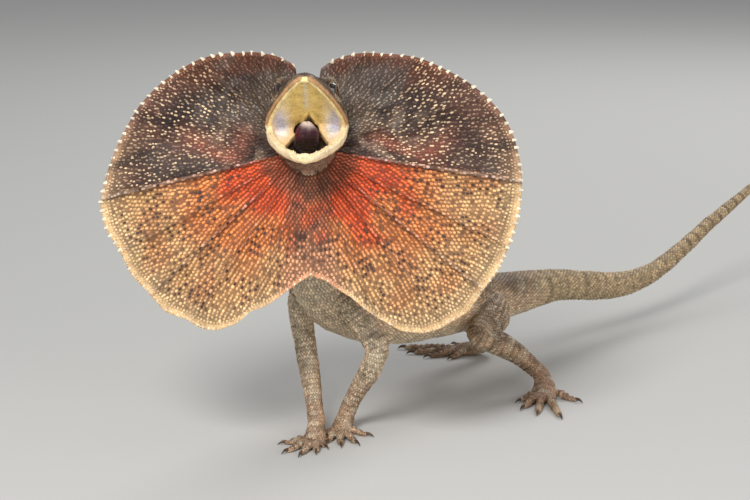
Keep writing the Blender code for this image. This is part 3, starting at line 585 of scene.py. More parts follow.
def frill_point(degrees, share, face, relief=0.0):
    turn = np.radians(degrees)
    upward = np.array([0, math.sin(FRILL_LEAN), math.cos(FRILL_LEAN)])
    forward = np.array([0, -math.cos(FRILL_LEAN), math.sin(FRILL_LEAN)])
    spoke = np.outer(np.sin(turn), [1, 0, 0]) - np.outer(np.cos(turn), upward)
    reach = FRILL_ROOT + (frill_reach(degrees) - FRILL_ROOT) * share
    dish = FRILL_DISH * (reach / 130.0) ** 1.6
    pleat = -FRILL_PLEAT * (1 - ray_share(degrees)) * np.sin(math.pi * np.minimum(share * 1.1, 1) / 2)
    thick = FRILL_THICK_ROOT + (FRILL_THICK_RIM - FRILL_THICK_ROOT) * np.minimum(share, 1)
    out = dish + pleat + face * thick / 2 + relief
    return FRILL_MIDDLE + spoke * reach[:, None] + out[:, None] * forward


def frill_relief(degrees, share, face):
    reach = FRILL_ROOT + (frill_reach(degrees) - FRILL_ROOT) * share
    arc = reach * math.pi / 180
    relief = np.zeros(len(degrees))
    for ray, high in RAYS:
        across = (degrees - ray) * arc
        ridge = high * (1 - 0.45 * share) * hump(0, 1.0, across) - 0.35 * high * hump(-2.2, 1.1, across)
        relief += np.where(face > 0, ridge, -0.5 * ridge)
    crease = np.sin(degrees * 0.9 + 2.0 * np.sin(share * 5 + degrees * 0.11)) * 0.22
    crease += np.sin(degrees * 2.3 + 3.0 * np.sin(share * 3.1 - degrees * 0.07)) * 0.12
    relief += crease * step(0.15, 0.5, share) * (0.4 + 0.6 * step(1.0, 0.6, share))
    near = step(80, 46, reach) * step(76, 90, np.abs(degrees)) * step(14, 24, reach)
    fold = np.sin(degrees * 0.32 + 0.16 * reach + 1.6 * np.sin(reach * 0.11))
    return relief + 0.75 * near * fold


def frill_sheet():
    columns = np.linspace(*FRILL_ENDS, FRILL_COLUMNS)
    rings = np.linspace(0, 1, FRILL_RINGS) ** 0.9
    degrees = np.repeat(columns, FRILL_RINGS)
    share = np.tile(rings, FRILL_COLUMNS)
    sheets = []
    for face in (1.0, -1.0):
        relief = frill_relief(degrees, share, np.full(len(share), face))
        sheets.append(frill_point(degrees, share, face, relief))
    points = np.vstack(sheets)
    grid = np.arange(FRILL_COLUMNS * FRILL_RINGS).reshape(FRILL_COLUMNS, FRILL_RINGS)
    back = grid + FRILL_COLUMNS * FRILL_RINGS
    fronts = np.stack([grid[:-1, :-1], grid[:-1, 1:], grid[1:, 1:], grid[1:, :-1]], axis=-1)
    backs = np.stack([back[:-1, :-1], back[1:, :-1], back[1:, 1:], back[:-1, 1:]], axis=-1)
    edges = (
        (grid[:, -1], back[:, -1]), (grid[::-1, 0], back[::-1, 0]),
        (grid[0, :], back[0, :]), (grid[-1, ::-1], back[-1, ::-1]),
    )
    rims = [np.stack([near[:-1], far[:-1], far[1:], near[1:]], axis=-1) for near, far in edges]
    faces = np.vstack([fronts.reshape(-1, 4), backs.reshape(-1, 4)] + rims)
    fan = np.column_stack([np.tile(degrees, 2), np.tile(share, 2), np.repeat([1.0, -1.0], len(share))])
    return points, faces, fan


frill_points, frill_faces, frill_fan = frill_sheet()
print("membrane:", len(frill_faces), "faces")

# %% [markdown]
# Markings are worked out once, as masks and a tint for any point of the hide, and the
# same functions colour the skin and the scales that stand on it, so both agree. A tint
# that is stored on the points needs no picture and no unwrapping.

# %% Tints of the hide
BACK = tint(168, 140, 110)
FLANK = tint(228, 194, 156)
BELLY = tint(220, 202, 172)
CHEST = tint(255, 232, 196)
DARK = tint(104, 84, 66)
PALE = tint(222, 206, 176)
RUST = tint(172, 130, 100)
TAIL = tint(190, 164, 124)
TAIL_BAND = tint(104, 82, 58)


def body_tint(points, line, along, turn):
    back = np.cos(turn) * 0.5 + 0.5
    colours = np.tile(FLANK, (len(points), 1))
    colours = blend_to(colours, BACK, step(0.45, 0.9, back))
    colours = blend_to(colours, BELLY, step(0.35, 0.05, back) * 0.8)
    chest = (line == 0) * step(120, 80, along)
    colours = blend_to(colours, CHEST, chest * 0.8)
    patches = waves(points, 16, 31)
    colours = blend_to(colours, DARK, 0.55 * step(0.1, 0.9, patches) * step(0.2, 0.6, back))
    colours = blend_to(colours, PALE, 0.35 * step(0.2, 0.9, waves(points, 9, 32)))
    trunk = (line == 0) * step(90, 120, along) * step(330, 300, along)
    bars = 0.5 + 0.5 * np.sin(along / 4.6 + 1.5 * waves(points, 18, 33))
    colours = blend_to(colours, DARK, 0.4 * trunk * step(0.55, 0.95, bars) * step(0.4, 0.8, back))
    tail = (line == 0) * step(300, 350, along)
    colours = blend_to(colours, TAIL, tail * 0.85)
    rings = 0.5 + 0.5 * np.sin(along * 2 * math.pi / 13.0 + 0.7 * waves(points, 12, 34))
    strength = 0.4 + 0.3 * step(430, 620, along)
    colours = blend_to(colours, TAIL_BAND, tail * strength * step(0.72, 0.97, rings))
    limb = (line > 0).astype(float)
    colours = blend_to(colours, RUST, limb * 0.65 * step(50, 14, points[:, 2]))
    bands = np.sin(along / 3.4 + 2.0 * waves(points, 12, 37))
    banded = limb * 0.55 * step(0.2, 0.9, bands)
    colours = blend_to(colours, DARK, banded * step(0.0, 0.6, waves(points, 8, 35)))
    colours = blend_to(colours, DARK, limb * 0.4 * step(0.1, 0.8, waves(points, 4.5, 38)))
    colours = blend_to(colours, PALE, limb * 0.5 * step(0.2, 0.8, waves(points, 5, 36)))
    return colours


# %% [markdown]
# Frill: dark brown above with pale dots, grey and rust patches, and a salmon streak;
# below, vivid orange at the root that pales to cream at the rim, with dark spots. Each
# colour is laid over the last one through its own mask, as a painter glazes a model.

# %% Tints of the frill
# Lower part
ROOT_RED = tint(252, 94, 34)
MID_ORANGE = tint(252, 148, 78)
PEACH = tint(254, 196, 132)
RIM_CREAM = tint(240, 202, 150)
ORANGE_PATCH = tint(226, 150, 92)
MIDDLE_BROWN = tint(196, 112, 74)
MIDDLE_TAN = tint(232, 160, 118)
MIDDLE_DARK = tint(92, 58, 46)
MIDDLE_RED = tint(232, 104, 54)
ROOT_BROWN = tint(144, 92, 66)
# Upper part
UPPER_BASE = tint(84, 56, 46)
UPPER_RIM = tint(156, 106, 86)
GREY_PATCH = tint(126, 112, 102)
NECK_GREY = tint(152, 130, 110)
RUST_EDGE = tint(126, 70, 42)
SMUDGE = tint(52, 36, 34)
NEAR_PALE = tint(204, 172, 146)
NEAR_GREY = tint(164, 150, 138)
SALMON = tint(214, 126, 98)
# Rays and back
RAY_PALE = tint(236, 206, 190)
RAY_SHADOW = tint(74, 40, 30)
FRILL_BACK = tint(150, 128, 100)
BACK_ORANGE = tint(190, 130, 92)
# How clearly a ray shows as a line, for the four that show most
RAY_STRENGTH = {-76: 0.75, 81: 0.75, -47: 0.4, 51: 0.4}


def upper_edge(degrees):
    return np.where(degrees < 0, UPPER_EDGE_RIGHT, UPPER_EDGE_LEFT)


def lower_frill_tint(points, degrees, share, reach):
    low = np.tile(MID_ORANGE, (len(points), 1))
    low = blend_to(low, ROOT_RED, step(0.52, 0.3, share + 0.1 * waves(points, 12, 42)))
    low = blend_to(low, PEACH, step(0.5, 0.78, share + 0.08 * waves(points, 14, 43)) * 0.9)
    low = blend_to(low, RIM_CREAM, step(0.82, 0.97, share) * 0.85)
    patches = step(0.1, 0.8, waves(points, 13, 40)) * step(0.45, 0.6, share) * step(1.0, 0.85, share)
    low = blend_to(low, ORANGE_PATCH, 0.6 * patches)
    middle = step(24, 12, np.abs(degrees - 1) * np.minimum(reach / 40, 1.4))
    low = blend_to(low, MIDDLE_BROWN, middle * step(0.85, 0.6, share) * 0.9)
    low = blend_to(low, MIDDLE_TAN, middle * step(0.5, 0.8, share) * 0.85)
    dark = middle * 0.75 * step(0.0, 0.6, waves(points, 5, 45))
    low = blend_to(low, MIDDLE_DARK, dark * step(0.95, 0.6, share))
    red = middle * 0.7 * step(0.1, 0.7, waves(points, 7, 44))
    low = blend_to(low, MIDDLE_RED, red * step(0.9, 0.5, share))
    return blend_to(low, ROOT_BROWN, step(34, 26, reach) * 0.7)


# %% Tints of the upper frill
def upper_frill_tint(points, degrees, share, reach):
    away = np.abs(degrees)
    high = np.tile(UPPER_BASE, (len(points), 1))
    high = blend_to(high, UPPER_RIM, step(0.62, 0.95, share) * 0.75)
    high = blend_to(high, RIM_CREAM, step(0.8, 1.0, share) * step(104, 80, away) * 0.45)
    lines = waves(np.column_stack([degrees * 1.4, reach * 0.22, reach * 0]), 5, 50)
    high = blend_to(high, SMUDGE, 0.7 * step(0.0, 0.8, lines) * step(0.2, 0.35, share))
    high = blend_to(high, NECK_GREY, 0.4 * step(-0.2, -0.9, lines) * step(0.95, 0.8, share))
    high = blend_to(high, NECK_GREY, step(58, 40, reach) * step(96, 112, away) * 0.8)
    high = blend_to(high, RUST_EDGE, step(0.7, 0.88, share) * step(104, 128, away) * 0.9)
    grey = step(0.15, 0.7, waves(points, 24, 46)) * step(0.25, 0.4, share) * step(0.95, 0.8, share)
    high = blend_to(high, GREY_PATCH, grey * 0.7)
    smudge = step(0.35, 0.85, waves(points, 20, 47)) * step(0.3, 0.45, share) * step(0.92, 0.75, share)
    high = blend_to(high, SMUDGE, smudge * 0.85)
    near = step(74, 50, reach + 10 * waves(points, 16, 39)) * step(0.1, 0.2, share)
    pale = 0.75 * near * step(0.0, 0.6, waves(points, 6, 55))
    high = blend_to(high, NEAR_PALE, pale * step(124, 100, away))
    grey = 0.5 * near * step(0.1, 0.6, waves(points, 7, 59))
    high = blend_to(high, NEAR_GREY, grey * step(96, 106, away))
    streak = hump(92, 9, away + 8 * waves(points, 20, 48)) * step(0.2, 0.35, share) * step(0.78, 0.55, share)
    return blend_to(high, SALMON, streak * 0.8)


# %% Tints of the rays and of the frill's back
def ray_lines(colours, degrees, share, reach):
    """Each ray shows as a pale line with a painted shadow at its side, by its groove."""
    arc = reach * math.pi / 180
    fade = step(0.12, 0.3, share)
    for ray, _ in RAYS:
        across = (degrees - ray) * arc * np.sign(ray)
        strong = RAY_STRENGTH.get(int(ray), 0.2 if abs(ray) < 76 else 0.06)
        colours = blend_to(colours, RAY_PALE, strong * hump(0, 0.7, across) * fade)
        # The dark line beside each ray is painted shadow next to its groove.
        colours = blend_to(colours, RAY_SHADOW, 1.1 * strong * hump(-1.5, 0.8, across) * fade)
    return colours


def frill_tint(points, fan):
    """The tint of any point of the membrane, from its angle, its share of reach and its face."""
    degrees, share, face = fan[:, 0], fan[:, 1], fan[:, 2]
    away = np.abs(degrees)
    reach = FRILL_ROOT + (frill_reach(degrees) - FRILL_ROOT) * share
    edge = upper_edge(degrees)
    upper = step(edge - 0.8, edge + 0.8, away)
    low = lower_frill_tint(points, degrees, share, reach)
    high = upper_frill_tint(points, degrees, share, reach)
    colours = low * (1 - upper[:, None]) + high * upper[:, None]
    colours = ray_lines(colours, degrees, share, reach)
    behind = np.tile(FRILL_BACK, (len(points), 1))
    behind = blend_to(behind, DARK, 0.5 * step(0.1, 0.8, waves(points, 18, 49)))
    behind = blend_to(behind, BACK_ORANGE, 0.5 * step(84, 60, away) * step(0.3, 0.8, share))
    back = (face < 0).astype(float)[:, None]
    return colours * (1 - back) + behind * back


# %% [markdown]
# Head: grey-brown above with tan flecks, pale lips. Inside the mouth the roof is a dry
# yellow, the corners are pale lilac, and the throat goes dark red and then black; the
# throat's purple and black are painted shade, and the pale top of its mound is painted light.
# The masks of the folds serve again here, so a colour ends just where its fold does.

# %% Tints of the head
# Outside
HEAD_TOP = tint(100, 80, 66)
HEAD_FLECK = tint(182, 154, 120)
HEAD_DARK = tint(70, 58, 54)
LID_PALE = tint(214, 184, 148)
CHIN = tint(136, 84, 58)
CHIN_DARK = tint(88, 60, 48)
# Lips
LIP_OUTER = tint(200, 154, 108)
LIP_INNER = tint(250, 224, 160)
LIP_LINE = tint(128, 84, 52)
JAW_LIP = tint(255, 230, 186)
JAW_WALL = tint(255, 216, 150)
# Roof and corners of the mouth
PALATE = tint(255, 224, 140)
PALATE_PALE = tint(255, 242, 204)
PALATE_LINE = tint(196, 160, 84)
LILAC = tint(204, 204, 234)
WHITISH = tint(250, 246, 234)
CORNER_MIDDLE = -1.95
# Throat
FOLD_BROWN = tint(150, 104, 52)
# The dome's pale top is partly painted light; the purple below it and the black at the bottom are painted
# shade in the hollow of the throat.
DOME_AND_HIGHLIGHT = tint(214, 196, 188)
PURPLE_AND_SHADE = tint(66, 36, 46)
GULLET = tint(84, 22, 26)
THROAT_SHADOW = tint(20, 8, 10)


def gullet_tint(points, colours, share):
    """Throat mound: top paled by painted light, purple below and black bottom as painted shade, dark red
    sides.
    """
    height, _ = gullet_edge(points)
    middle = np.abs(points[:, 0] - MOUTH_MIDDLE)
    deep = np.tile(PURPLE_AND_SHADE, (len(points), 1))
    top = step(189.5, 196.5, height + 1.2 * waves(points, 3, 56))
    deep = blend_to(deep, DOME_AND_HIGHLIGHT, top * step(6.5, 2.5, middle))
    deep = blend_to(deep, GULLET, step(4.0, 6.5, middle) * 0.9)
    deep = blend_to(deep, THROAT_SHADOW, step(190.5, 183.5, height + 1.2 * waves(points, 3, 57)))
    return blend_to(colours, deep, share)


def head_outside_tint(points, colours, upper_read, lower_read):
    """Crown, lids and chin; each jaw's reading is along, out and up."""
    along, out, up = upper_read
    head = step(18, 6, points[:, 1]) * step(164, 174, points[:, 2])
    colours = blend_to(colours, HEAD_TOP, head * step(-6, 0, up))
    cap = head * step(-2, 3, up)
    colours = blend_to(colours, HEAD_FLECK, cap * 0.7 * step(0.1, 0.8, waves(points, 3.2, 51)))
    colours = blend_to(colours, HEAD_DARK, cap * 0.5 * step(0.2, 0.9, waves(points, 6, 52)))
    lids = hump(5.8, 1.4, np.hypot(along - EYE[0], up - EYE[2])) * step(8, 11, np.abs(out)) * head
    colours = blend_to(colours, LID_PALE, lids * 0.95)
    chin = head * step(1, -2, lower_read[2]) * step(2, -2, up)
    colours = blend_to(colours, CHIN, chin * 0.85)
    return blend_to(colours, CHIN_DARK, chin * 0.6 * step(0, 0.8, waves(points, 3, 53)))


def lip_tint(colours, masks, upper_read, lower_read):
    _, upper_lip, _, lower_lip = masks
    groove = jaw_width(SKULL, upper_read[0]) - np.abs(upper_read[1])
    lip = LIP_OUTER * step(1.5, 0.8, groove)[:, None] + LIP_INNER * step(0.8, 1.5, groove)[:, None]
    colours = blend_to(colours, lip, upper_lip)
    colours = blend_to(colours, LIP_LINE, upper_lip * 0.7 * hump(1.05, 0.28, groove))
    colours = blend_to(colours, JAW_LIP, lower_lip)
    low_groove = jaw_width(JAW, lower_read[0]) - np.abs(lower_read[1])
    return blend_to(colours, JAW_WALL, lower_lip * 0.7 * hump(2.0, 0.7, low_groove))


# %% Tints inside the mouth
def mouth_tint(points, colours, masks, upper_read):
    upper, _, lower, _ = masks
    along, out, _ = upper_read
    colours = blend_to(colours, PALATE, upper)
    colours = blend_to(colours, PALATE_PALE, upper * hump(0, 1.5, out) * step(10, 18, along) * 0.9)
    colours = blend_to(colours, PALATE_PALE, upper * step(7, 12, np.abs(out)) * 0.35)
    colours = blend_to(colours, PALATE_LINE, upper * 0.6 * hump(40.5, 0.9, along))
    colours = blend_to(colours, JAW_WALL, lower)
    height, inner = gullet_edge(points)
    inside = np.maximum(upper, lower)
    middle = np.abs(points[:, 0] - CORNER_MIDDLE)
    white = np.clip(1.3 * hump(14.6, 4.0, middle) * hump(194.5, 7.5, height), 0, 1)
    colours = blend_to(colours, WHITISH, inside * white)
    lilac = np.clip(1.3 * (hump(16.2, 3.2, middle) * hump(196.6, 5.6, height)), 0, 0.9)
    colours = blend_to(colours, LILAC, inside * lilac * (0.8 + 0.2 * waves(points, 1.6, 58)))
    fold = inside * 0.7 * hump(-0.2, 0.6, inner) * step(203, 200, height)
    colours = blend_to(colours, FOLD_BROWN, fold)
    return gullet_tint(points, colours, inside * step(-0.2, 1.0, inner))


def head_tint(points, colours):
    """The tint of any point of the head, and how wet it is from 0 to 1."""
    masks = mouth_masks(points)
    upper, upper_lip, lower, lower_lip = masks
    upper_read = head_read(UPPER_PITCH, points)
    lower_read = head_read(LOWER_PITCH, points)
    colours = head_outside_tint(points, colours, upper_read, lower_read)
    colours = lip_tint(colours, masks, upper_read, lower_read)
    colours = mouth_tint(points, colours, masks, upper_read)
    inside = np.maximum(upper, lower)
    throat = inner_throat(points)
    colours = gullet_tint(points, colours, throat * (1 - inside))
    wet = np.clip(upper + lower + throat + 0.5 * (upper_lip + lower_lip), 0, 1)
    deep = np.maximum(throat, inside * step(-0.2, 1.0, gullet_edge(points)[1]))
    return colours, wet * (1 - 0.45 * deep)


THROAT_MIDDLE = np.array([-2.2, 2.0, 194.0])
THROAT_SIZE = (9.5, 19.0, 8.5)


def inner_throat(points):
    """Share of each point that lies in the hollow behind the mouth, an egg on its side."""
    turn = math.radians(LOWER_PITCH)
    away = points - THROAT_MIDDLE
    far = away[:, 1] * math.cos(turn) + away[:, 2] * math.sin(turn)
    high = -away[:, 1] * math.sin(turn) + away[:, 2] * math.cos(turn)
    wide, long, tall = THROAT_SIZE
    size = np.sqrt((away[:, 0] / wide) ** 2 + (far / long) ** 2 + (high / tall) ** 2)
    return step(1.25, 1.02, size)


# %% [markdown]
# The skin is now put together: the flesh and the membrane become one mesh, and each
# point gets its tint, its wetness and its root. The root is where the point was at rest.
# Grain is read at the root and not at the moved point, so it never slides. Between the
# scales the bare skin is darkened as painted shade, in the mouth it isn't.

# %% Skin
def join_skin():
    data = bmesh.new()
    data.from_mesh(flesh)
    count = len(data.verts)
    sheet = mesh_object("sheet", frill_points, frill_faces)
    data.from_mesh(sheet.data)
    bpy.data.objects.remove(sheet)
    mesh = bpy.data.meshes.new("skin")
    data.to_mesh(mesh)
    data.free()
    mesh.shade_smooth()
    made = bpy.data.objects.new("skin", mesh)
    bpy.context.scene.collection.objects.link(made)
    return made, count


skin, flesh_count = join_skin()
all_points = read_points(skin.data)
body_points = all_points[:flesh_count]
body_colours = body_tint(body_points, skin_line, skin_along, skin_turn)
body_colours, body_wet = head_tint(body_points, body_colours)
frill_colours = frill_tint(all_points[flesh_count:], frill_fan)
# The bare skin between the scales is darkened as painted shade: on the body outside the mouth, on the
# frill's front inside its rim, and on its back.
front_shade = 1 - 0.62 * step(0.985, 0.95, frill_fan[:, 1])
gap_shade = np.where(frill_fan[:, 2] > 0, front_shade, 0.8)
shade_between_scales = 0.62 + 0.38 * step(0, 0.5, body_wet[:, None])
skin_colours = np.vstack([body_colours * shade_between_scales, frill_colours * gap_shade[:, None]])
write_colour(skin.data, "tint", skin_colours)
write_value(skin.data, "wet", np.concatenate([body_wet, np.zeros(len(frill_fan))]))
write_vector(skin.data, "root", all_points * MM)
print("skin:", len(skin.data.polygons), "faces,", flesh_count, "points of flesh")

# %% [markdown]
# Every scale is a small plate with a keel: eight points and eight faces. One function
# sets thousands of them on given roots, each turned to lie along the skin, and gives
# them the tint of the hide at their root. On the map for baking each has a small patch.
# Bump alone would leave the outline smooth, and separate objects would be slow, so the
# plates of one part of the body are a single mesh.

# %% Scales
PLATE = np.array([
    (-0.50, 0.0, -0.12), (-0.22, 0.46, -0.12), (0.22, 0.43, -0.10), (0.54, 0.0, 0.10),
    (0.22, -0.43, -0.10), (-0.22, -0.46, -0.12), (-0.26, 0.0, 0.66), (0.30, 0.0, 1.0),
])
PLATE_FACES = np.array([
    (1, 0, 6), (2, 1, 6), (2, 6, 7), (3, 2, 7), (0, 5, 6), (5, 7, 6), (5, 4, 7), (4, 3, 7),
])
PATCH = 0.003


def coat(name, roots, normals, heads, length, width, height, colours, flat):
    """Keeled scales as one mesh: where they stand, which way they point and their sizes."""
    count = len(roots)
    heads = heads - normals * np.einsum("ij,ij->i", heads, normals)[:, None]
    heads /= np.linalg.norm(heads, axis=1)[:, None] + 1e-9
    across = np.cross(normals, heads)
    dice = np.random.default_rng(SEED + count)
    size = dice.uniform(0.88, 1.12, count)
    spans = (np.broadcast_to(np.asarray(value, float), (count,)) for value in (length, width, height))
    length, width, height = (value * size for value in spans)
    points = (
        roots[:, None, :]
        + PLATE[None, :, 0, None] * (length[:, None, None] * heads[:, None, :])
        + PLATE[None, :, 1, None] * (width[:, None, None] * across[:, None, :])
        + PLATE[None, :, 2, None] * (height[:, None, None] * normals[:, None, :])
    ).reshape(-1, 3)
    faces = (PLATE_FACES[None] + 8 * np.arange(count)[:, None, None]).reshape(-1, 3)
    made = mesh_object(name, points, faces)
    write_colour(made.data, "tint", np.repeat(colours, 8, axis=0))
    write_vector(made.data, "root", np.repeat(roots, 8, axis=0) * MM)
    keel = np.tile(np.clip(PLATE[:, 2], 0, 1), count)
    write_value(made.data, "keel", keel)
    layer = made.data.uv_layers.new(name="OFBake")
    spread = np.repeat(flat, 8, axis=0) + np.tile(PLATE[:, :2] * PATCH, (count, 1))
    layer.data.foreach_set("uv", spread[faces.ravel()].astype(np.float32).ravel())
    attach(made, "root")
    print(name, count, "scales,", len(faces), "faces")
    return made


# %% [markdown]
# On the body the scales lie in staggered rows round it. A line is drawn outwards from
# the middle of the animal at even turns, and where it meets the skin a scale is rooted.
# Scattering them at random would be simpler, but a lizard's rows are what makes it one.

# %% Rows round the body and limbs
def lattice(line, first, last, pitch, tree, hollow=0.0, squeeze=0.84):
    """Staggered rows round a line, found by looking outwards from it to the skin.

    Rows nearer than hollow are found from outside, as the throat lies within them.
    """
    found = []
    at, row = first, 0
    while at < last:
        i = min(int(np.searchsorted(line["at"], at)), len(line["at"]) - 1)
        centre, wide = line["rows"][i, :3], 0.5 * (line["rows"][i, 3] + line["rows"][i, 4])
        gap = float(np.interp(at, *pitch))
        count = max(6, round(2 * math.pi * wide / gap))
        for k in range(count):
            turn = 2 * math.pi * (k + 0.5 * (row % 2)) / count
            way = math.sin(turn) * line["side"][i] + math.cos(turn) * line["top"][i]
            if at < hollow:
                start = Vector(centre + 2 * wide * way)
                place, normal, _, far = tree.ray_cast(start, Vector(-way), 1.5 * wide)
                far = 2 * wide - (far or 0)
            else:
                place, normal, _, far = tree.ray_cast(Vector(centre), Vector(way), 1.9 * wide + 1)
            if place is None or far < 0.5 * wide or normal.dot(Vector(way)) < 0.25:
                continue
            if place.z > 0.9:
                turned = (turn + math.pi) % (2 * math.pi) - math.pi
                found.append((*place, *normal, *line["run"][i], at, turned, gap))
        at += gap * squeeze
        row += 1
    return np.array(found)


skin_tree = tree_of(flesh)
total = LINES["body"]["at"][-1]
body_pitch = ([0, 60, 130, 260, 330, 480, total], [1.9, 2.1, 2.2, 2.1, 2.5, 2.6, 0.9])
trunk_rows = lattice(LINES["body"], 2, total - 1, body_pitch, skin_tree, 30)
trunk_rows = trunk_rows[(trunk_rows[:, 1] > 5) | (trunk_rows[:, 2] < 173)]


def coat_rows(name, rows, number, flat, height=0.42, long=1.25):
    """The coat of the line of that number: 0 for the body, whose tail has a higher keel."""
    roots, normals, heads = rows[:, 0:3], rows[:, 3:6], rows[:, 6:9]
    along, turn, gap = rows[:, 9], rows[:, 10], rows[:, 11]
    colours = body_tint(roots, np.full(len(rows), number), along, turn)
    if number == 0:
        colours, _ = head_tint(roots, colours)
    dice = np.random.default_rng(SEED + number)
    colours = np.clip(colours * dice.uniform(0.7, 1.3, len(rows))[:, None], 0, 1)
    keeled = 1 + 0.6 * step(300, 360, along) if number == 0 else np.ones(len(rows))
    height = height * keeled * gap / 2
    return coat(name, roots, normals, heads, gap * long, gap * 1.02, height, colours, flat)


half = len(trunk_rows) // 2
trunk_round = trunk_rows[:, 10] / (2 * math.pi) * 0.98 + 0.5
flat = np.column_stack([trunk_rows[:, 9] / total * 0.98 + 0.01, trunk_round])
body_scales = [
    coat_rows("scales_front", trunk_rows[:half], 0, flat[:half]),
    coat_rows("scales_rear", trunk_rows[half:], 0, flat[half:]),
]
limb_rows, limb_flat = [], []
for number, name in enumerate(LIMBS):
    line = LINES[name]
    rows = lattice(line, 4, line["at"][-1] - 6, ([0, 60, 110], [1.9, 1.7, 1.5]), skin_tree)
    limb_rows.append(rows)
    u = rows[:, 9] / line["at"][-1] * 0.96 + 0.02
    v = (number + 0.5 + rows[:, 10] / (2 * math.pi) * 0.94) / 4
    limb_flat.append(np.column_stack([u, v]))
limb_rows, limb_flat = np.vstack(limb_rows), np.vstack(limb_flat)
body_scales.append(coat_rows("scales_limbs", limb_rows, 1, limb_flat, 0.36, 1.15))


# %% [markdown]
# On the head, hands and feet the scales are rounder grains without rows. They are
# spread over the skin's own points so that no two stand closer than a set distance:
# every point is put in a cell, one of each cell is kept, and near ones are dropped.

# %% Grains of the head
def scatter(points, spacing, seed):
    cells = np.floor(points / (spacing * 0.85)).astype(np.int64)
    keys = cells[:, 0] * 73856093 ^ cells[:, 1] * 19349663 ^ cells[:, 2] * 83492791
    order = np.random.default_rng(seed).permutation(len(points))
    first = order[np.unique(keys[order], return_index=True)[1]]
    tree = KDTree(len(first))
    for i, place in enumerate(points[first].tolist()):
        tree.insert(place, i)
    tree.balance()
    kept = np.ones(len(first), bool)
    for i, place in enumerate(points[first].tolist()):
        if kept[i]:
            for _, j, _ in tree.find_range(place, spacing * 0.62):
                if j > i:
                    kept[j] = False
    return first[kept]


flesh_points = read_points(flesh)
flesh_normals = read_normals(flesh)
head_along, head_out, head_up = head_read(UPPER_PITCH, flesh_points)
low_up = head_read(LOWER_PITCH, flesh_points)[2]
mouth_up, lip_up, mouth_low, lip_low = mouth_masks(flesh_points)
on_head = (flesh_points[:, 1] < 6) & (flesh_points[:, 2] > 172)
on_head &= (mouth_up < 0.1) & (mouth_low < 0.1) & (inner_throat(flesh_points) < 0.1)
on_head &= (lip_up < 0.25) & (lip_low < 0.25)
on_head &= (head_up > 0.5) | (low_up < -1.0)
eye_far = np.hypot(head_along - EYE[0], head_up - EYE[2])
on_head &= (eye_far > 5.0) | (np.abs(head_out) < 10)
head_ids = np.flatnonzero(on_head)
head_ids = head_ids[scatter(flesh_points[head_ids], 1.45, 5)]
head_roots, head_normals = flesh_points[head_ids], flesh_normals[head_ids]
head_base = body_tint(head_roots, np.zeros(len(head_ids)), head_along[head_ids], head_out[head_ids] * 0)
head_colours, _ = head_tint(head_roots, head_base)
dice = np.random.default_rng(SEED)
head_colours = np.clip(head_colours * dice.uniform(0.82, 1.2, len(head_ids))[:, None], 0, 1)
head_way = np.tile([0.0, 0.7, -0.7], (len(head_ids), 1))
around = np.arctan2(head_out[head_ids], head_up[head_ids]) / (2 * math.pi) * 0.96 + 0.5
head_flat = np.column_stack([around, (head_along[head_ids] + 30) / 90 * 0.96 + 0.02])
head_scales = coat(
    "grains_head", head_roots, head_normals, head_way, 1.55, 1.5, 0.34, head_colours, head_flat
)

# %% Grains of the hands and feet
low_parts = (flesh_points[:, 2] < 14) & (flesh_points[:, 2] > 0.9) & (skin_line > 0)
foot_ids = np.flatnonzero(low_parts)
foot_ids = foot_ids[scatter(flesh_points[foot_ids], 1.3, 6)]
foot_roots, foot_normals = flesh_points[foot_ids], flesh_normals[foot_ids]
foot_colours = body_tint(foot_roots, skin_line[foot_ids], skin_along[foot_ids], skin_turn[foot_ids])
foot_colours = np.clip(foot_colours * dice.uniform(0.8, 1.25, len(foot_ids))[:, None], 0, 1)
foot_way = np.tile([0.0, -1.0, -0.3], (len(foot_ids), 1))
foot_spot = foot_roots[:, :2]
foot_flat = (foot_spot - foot_spot.min(0)) / np.ptp(foot_spot, axis=0).max() * 0.96 + 0.02
foot_scales = coat("grains_feet", foot_roots, foot_normals, foot_way, 1.5, 1.3, 0.3, foot_colours, foot_flat)


# %% [markdown]
# The membrane carries scattered scales in curved rows with bare skin between: pale dots
# above, dark spots below, an orange net at the root and finer scales along the rim. A
# lattice of turns and reaches gives the rows, and a small random shift breaks them. Each
# scale draws by chance whether it is a dot or a spot, more often where a field is high.

# %% Scales of the frill
DARK_SPOT = tint(76, 38, 24)
PALE_DOT = tint(248, 212, 168)


def frill_lattice():
    found = []
    reach, row = 18.0, 0
    fine = np.arange(FRILL_ENDS[0] + 1, FRILL_ENDS[1] - 1, 0.05)
    limits = frill_reach(fine)
    while reach < 134:
        pitch = float(np.interp(reach, [20, 45, 70, 110, 130], [2.1, 2.3, 2.55, 2.45, 2.2]))
        count = 2 * round(math.pi * reach / pitch)
        for k in range(count):
            degrees = -180 + 360 * (k + 0.5 * (row % 2)) / count
            if not FRILL_ENDS[0] + 1.5 < degrees < FRILL_ENDS[1] - 1.5:
                continue
            share = (reach - FRILL_ROOT) / (float(np.interp(degrees, fine, limits)) - FRILL_ROOT)
            if share < 0.945:
                found.append((degrees, share, pitch, 0.0, (row % 2 == 0) * (k % 2 == 0)))
        reach += pitch * 0.86
        row += 1
    turns = np.radians(fine)
    edge = limits[:, None] * np.column_stack([np.sin(turns), -np.cos(turns)])
    length = np.concatenate([[0], np.cumsum(np.linalg.norm(np.diff(edge, axis=0), axis=1))])
    for rim, (share, pitch) in enumerate(((0.957, 2.0), (0.973, 1.9))):
        for at in np.arange(1 + rim, length[-1] - 1, pitch):
            found.append((float(np.interp(at, length, fine)), share, pitch, 1.0, 0.0))
    return np.array(found)


